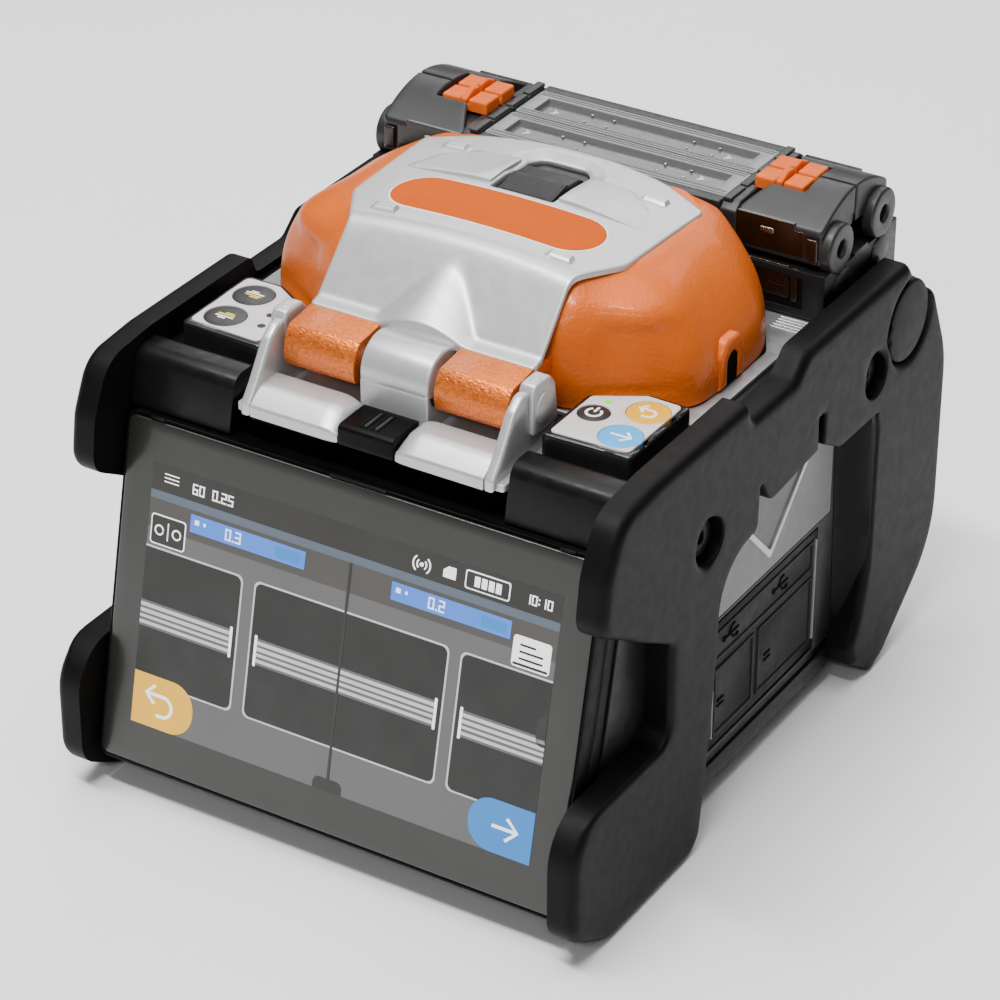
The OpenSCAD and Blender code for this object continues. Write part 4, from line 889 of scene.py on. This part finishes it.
slab("hood_label_rim", stadium(27.6, 8.5, -7), -0.1, 0.1, "hood", "label_film", "mark_white",
     rise=plate_base,
     follow=True, edge=0.05, pitch=1.2, rings=2)
slab("hood_label", stadium(27.2, 8.1, -7), -0.1, 0.18, "hood", "label_film", rise=plate_base,
     follow=True, edge=0.05, pitch=1.2, rings=2)
latch_profile = rounded([[4.1, 132.0, 0], [4.1, 133.5, 0.3], [11.8, 134.85, 0.2], [12.3, 134.4, 0.2],
                         [17.2, 134.0, 1.2], [19.0, 132.8, 0.4], [19.2, 132.0, 0]], 4)
slab("hood_latch", latch_profile, -7.2, 7.2, "latch", "latch_plastic", place=ALONG_X,
     edge=0.35, both=True)
slab("hood_latch_grip", box2(-6.5, 4.8, 6.5, 11.4, 0.4), -0.2, 0.1, "latch", "latch_plastic", "latch_grip",
     edge=0.08, rise=lambda x, y: 133.5 + (y - 4.1) * 0.1753, follow=True, pitch=0.8, rings=2)

# ---------- keypads ----------

def pad_outline(d):
    return rounded([[37.8 - d, -48 - d, 1.2], [57.8 + d, -47.2 - d, 1.4], [58 + d, -23 + d, 1.4],
                    [48.8, -22.8 + d, 1.2], [37.8 - d, -29.4 + d * 0.4, 1.2]], 5)


KEYS = {"heat_key": (-51.5, -29.8, 5.0), "arc_key": (-51.3, -41.4, 5.0), "power_key": (42.4, -35.8, 3.7),
        "return_key": (52.5, -29.5, 5.0), "next_key": (52.5, -41.6, 5.0)}
for side, word in ((1, "right"), (-1, "left")):
    turned = None if side > 0 else LEFT
    holes = [disc(side * x, y, r + 0.1) for n, (x, y, r) in KEYS.items() if side * x > 0]
    body_holes = [disc(side * x, y, r + 0.7) for n, (x, y, r) in KEYS.items() if side * x > 0]
    merge("keypad_" + word, [(*slab_mesh(pad_outline(1.1), DECK_Z, 108.6, edge=0.8, pitch=3, rings=3,
                                         holes=body_holes), turned)], "chassis", "keypad_frame")
    merge("keypad_film_" + word, [(*slab_mesh(pad_outline(-0.35), 108.3, 108.9, edge=0.12, pitch=3, rings=2,
                                              holes=holes), turned)], "chassis", "keypad_film")
for name, (x, y, r) in KEYS.items():
    slab(name, disc(x, y, r, 56), 106.6, 108.75, BODY_OF[name], SLOT_OF[name], edge=0.25, pitch=1.2,
         rise=lambda px, py, x=x, y=y, r=r: 0.25 * np.clip(1 - ((px - x) ** 2 + (py - y) ** 2) / r**2, 0, 1))


ICON_Z = 108.98


def icon(key, strokes, look, ending=""):
    """Strokes of (points, width) about the key's centre, just proud of its top."""
    x, y, _ = KEYS[key]
    merge(key + "_icon" + ending, [bar_mesh([(px + x, py + y) for px, py in p], w, ICON_Z - 0.3,
                                            ICON_Z + 0.04, edge=0.02)
                                   for p, w in strokes], BODY_OF[key], SLOT_OF[key], look)


icon("return_key", [([(-2.4, 0.9), (0.4, 0.9)], 0.7), (arc_points(0.4, -0.6, 1.5, 90, -90, 12), 0.7),
                    ([(0.4, -2.1), (-0.7, -2.1)], 0.7), ([(-1.1, 2.4), (-2.6, 0.9), (-1.1, -0.6)], 0.7)],
                    "mark_white")
icon("next_key", [([(-2.6, 0), (2.4, 0)], 0.7), ([(0.6, 2), (2.5, 0), (0.6, -2)], 0.7)], "mark_white")
icon("power_key", [(arc_points(0, 0, 1.7, 125, 415, 26), 0.65), ([(0, 0.2), (0, 2.4)], 0.6)], "mark_white")
for key, tone in (("heat_key", 1), ("arc_key", -1)):
    icon(key, [([(-2.4, 0.55 * tone), (2.4, 0.55 * tone)], 0.5), ([(-1.4, 1.3 * tone), (0.6, 1.3 * tone)],
                                                                  0.5)],
         "mark_white", "_a")
    icon(key, [([(-2.2, -0.35 * tone), (2.2, -0.35 * tone)], 0.55), ([(-0.6, -1.1 * tone), (1.8,
                                                                                            -1.1 * tone)],
                                                                                            0.5)],
         "mark_yellow", "_b")
slab("status_led", disc(42.7, -30.2, 0.95, 24), 108.5, 109.0, "chassis", "lamp_plastic", "mark_green",
     edge=0.2,
     pitch=0.6)
for k, (x, y) in enumerate(((-41.6, -41.2), (-42.7, -36.0))):
    slab("left_mark_%d" % k, disc(x, y, 1.0, 20), 108.6, 108.95, "chassis", "keypad_film", "mark_dark",
         edge=0.02)

# ---------- heater ----------

MID = 53.8


def heater_place(s):
    """Frame of one lid: s is -1 for the front and 1 for the rear."""
    m = Matrix.Identity(4)
    m[1][1] = s
    m[1][3] = MID
    return m


refine("heater_housing", 0.3, look="case_plastic")
for s, word in ((-1, "front"), (1, "rear")):
    place = heater_place(s)
    body = word + "_lid"
    lid = slab_mesh(box2(-32.8, 0.35, 32.8, 13.8, 0.8), 124.3, 126.9, edge=0.3, pitch=3,
                    holes=[box2(-29, 3.1, 29, 10.6, 0.5)])
    pane = slab_mesh(box2(-29.1, 3.0, 29.1, 10.7), 124.5, 125.5, edge=0.02)
    ribs = [slab_mesh(box2(-32, y0, 32, y1, 0.2), 126.7, 127.15, edge=0.15)
            for y0, y1 in ((0.9, 1.4), (2.0, 2.4), (11.5, 11.9), (12.6, 13.2))]
    merge("heater_lid_" + word, [lid, pane, *ribs], body, "clear_lid", place=place)
    pins = [slab_mesh(disc(x, y, 0.35, 14), 125.3, 126.3, edge=0.12) for x in (-16, -10, 12, 19) for y in (5,
                                                                                                           9)]
    darts = [slab_mesh(rounded([[x, 5.0, 0.1], [x + 2.2, 6.6, 0.1], [x, 8.2, 0.1], [x + 0.7, 6.6, 0.1]]),
                       125.3, 125.75,
                       edge=0.04) for x in (-26, 21.5)]
    merge("heater_lid_pins_" + word, pins + darts, body, "clear_lid", "steel", place=place)
    slab("heater_lid_window_" + word, box2(-28.7, 3.4, 28.7, 10.3, 0.3), 125.4, 125.65, body, "clear_lid",
         "lid_window", place=place, edge=0.05)
    rail = slab_mesh(box2(-33, 13.7, 33, 17, 0.4), 124.3, 126.9, edge=0.4, both=True)
    inner_end = rounded([[0.9, 121.2, 0.2], [0.35, 125, 0], [0.35, 127.4, 0.4], [14.8, 127.3, 2],
                         [17.4, 125.4, 1.2],
                         [17.7, 117.1, 0.8], [15.6, 116.3, 0.6], [11.3, 116.3, 0.3], [11.3, 121.2, 0.3]], 6)
    outer_end = rounded([[0.9, 121.2, 0.2], [0.35, 125, 0], [0.35, 126.6, 0.4], [10, 126.2, 2],
                         [16.6, 124.4, 0.5],
                         [17.0, 117.1, 0.8], [15.6, 116.3, 0.6], [11.3, 116.3, 0.3], [11.3, 121.2, 0.3]], 6)
    block = rounded([[37.4, 17.0, 1.2], [59.6, 17.0, 1.5], [59.6, 0.35, 0.5], [50, 0.35, 0.2],
                     [50, 7.3, 0.3],
                     [41.4, 7.3, 0.4], [37.4, 15, 1.5]], 5)
    bar = box2(33.3, 0.5, 35.6, 7.8, 0.4, 6)
    parts = [(*rail, place)]
    for turned, flip in zip(SIDES, MIRRORS):
        m = place @ flip
        parts += [(*slab_mesh(inner_end, 33.1, 37.6, edge=0.5, both=True, pitch=3), place @ turned),
                  (*slab_mesh(outer_end, 37.0, 59.4, edge=0.5, both=True, pitch=3), place @ turned),
                  (*slab_mesh(disc(10.8, 119.6, 6.2, 56), 59, 61.9, edge=0.8, pitch=2,
                              holes=[disc(10.8, 119.6, 2.0, 24)]), place @ turned),
                  (*slab_mesh(block, 124.2, 0, edge=0.7, rise=lambda x, y: 131 - 0.0195 * y * y, pitch=1.3),
                   m),
                  (*slab_mesh(bar, 127, 127.9, edge=0.4), m),
                  (*slab_mesh(bar + [0, 8.1], 127, 127.9, edge=0.4), m)]
    merge("heater_cover_" + word, parts, body, "heater_plastic")
    tabs = []
    for flip in MIRRORS:
        m = place @ flip
        tabs.append((*slab_mesh(box2(36.5, 0.4, 49.2, 6.6, 0.4), 127.3, 128.9, edge=0.2), m))
        for x in (36.5, 43.9):
            tabs.append((*slab_mesh(box2(x, 0.45, x + 5.2, 6.6, 0.6), 128.7, 130.2, edge=0.5, rings=4,
                                    pitch=1.5), m))
        ridge = rounded([[0.4, 128.6, 0], [0.4, 131.3, 0.4], [3.4, 131.7, 1.2], [6.7, 130.2, 0.6],
                         [6.7, 128.6, 0]], 5)
        tabs.append((*slab_mesh(ridge, 42.0, 43.7, edge=0.45, both=True), m @ ALONG_X))
    merge("heater_tabs_" + word, tabs, body, "tab_plastic")
    face = place @ basis((1, 0, 0), (0, 0, 1), (0, 1, 0))
    gloss, marks_ = [], []
    for flip in MIRRORS:
        m = flip @ face
        upper = rounded([[37.6, 118.2, 0.3], [55.2, 118.2, 0.3], [55.2, 124.6, 0.3], [52.6, 124.6, 0.2],
                         [52.6, 126.2, 0.2], [37.6, 126.2, 0.4]], 3)
        gloss.append((*slab_mesh(upper, 16.2, 17.1, edge=0.15, pitch=4), m))
        gloss.append((*slab_mesh(box2(55.8, 117.8, 58.8, 123.6, 0.5), 16.2, 17.6, edge=0.4), m))
        marks_.append((*slab_mesh(box2(43.9, 122.4, 47.3, 123.7, 0.2), 16.6, 17.25, edge=0.1), m))
    merge("heater_front_plate_" + word, gloss, body, "heater_plastic", "heater_gloss")
    merge("heater_front_mark_" + word, marks_, body, "heater_plastic", "steel")

low = []
for turned in (FRONT, LEFT @ FRONT):
    low += [(*slab_mesh(outline, -36.2, -35.6 + out, edge=0.15, pitch=4), turned)
            for outline, out in ((box2(40.6, 107.6, 52.2, 115.8, 0.4), 0), (box2(53.0, 107.2, 54.6, 115.6,
                                                                                 0.4), 0.15),
                                 (box2(47.0, 110.5, 51.4, 114.6, 0.3), 0.12))]
merge("heater_low_panels", low, "chassis", "heater_plastic", "heater_gloss")

# ---------- stage ----------

def softbox(name, at, size, power):
    light = bpy.data.lights.new(name, "AREA")
    light.shape = "RECTANGLE"
    light.size, light.size_y = size
    light.energy = power
    lamp = bpy.data.objects.new(name, light)
    lamp.matrix_world = (Vector(at) - Vector(AIM)).to_track_quat("Z", "Y").to_matrix().to_4x4()
    lamp.matrix_world.translation = Vector(at)
    bpy.context.scene.collection.objects.link(lamp)


AIM = (0, 0, 0.08)
softbox("top_light", (-0.12, 0.05, 1.15), (1.1, 1.1), 17)
softbox("shoulder_strip", (-0.09, -0.42, 1.1), (0.8, 0.03), 12)
softbox("front_strip", (0.28, -1.05, 0.85), (0.9, 0.12), 4)
softbox("rear_light", (-0.25, 0.95, 0.75), (1.1, 0.35), 5)
world = bpy.data.worlds.new("studio")
bpy.context.scene.world = world
world.use_nodes = True
world.node_tree.nodes["Background"].inputs["Color"].default_value = (1, 1, 1, 1)
world.node_tree.nodes["Background"].inputs["Strength"].default_value = 0.14

ground = bpy.data.meshes.new("floor")
ground.from_pydata([(-6, -6, 0), (6, -6, 0), (6, 6, 0), (-6, 6, 0)], [], [(0, 1, 2, 3)])
ground.materials.append(finish("paper", (0.95, 0.95, 0.95), 0.9, mottle=0.01, mottle_mm=60))
floor_sheet = bpy.data.objects.new("floor", ground)
bpy.context.scene.collection.objects.link(floor_sheet)
floor_sheet.location.z = -0.0002

turn, rise_, roll = math.radians(31.5), math.radians(30.94), math.radians(0.15)
level = Vector((math.cos(turn), math.sin(turn), 0))
forward = Vector((-math.sin(turn) * math.cos(rise_), math.cos(turn) * math.cos(rise_), -math.sin(rise_)))
upright = level.cross(forward)
across = level * math.cos(roll) + upright * math.sin(roll)
upward = upright * math.cos(roll) - level * math.sin(roll)
lens = bpy.data.cameras.new("camera")
lens.sensor_width = 36
lens.lens = 135.83  # millimetres, on the 36 mm sensor
lens.clip_start, lens.clip_end = 0.05, 20
camera = bpy.data.objects.new("camera", lens)
bpy.context.scene.collection.objects.link(camera)
spot = (across * 2.97 + upward * 52.08 - forward * 913 + Vector((0, -11, 0))) * MM
camera.matrix_world = basis(across, upward, -forward, spot)
bpy.context.scene.camera = camera
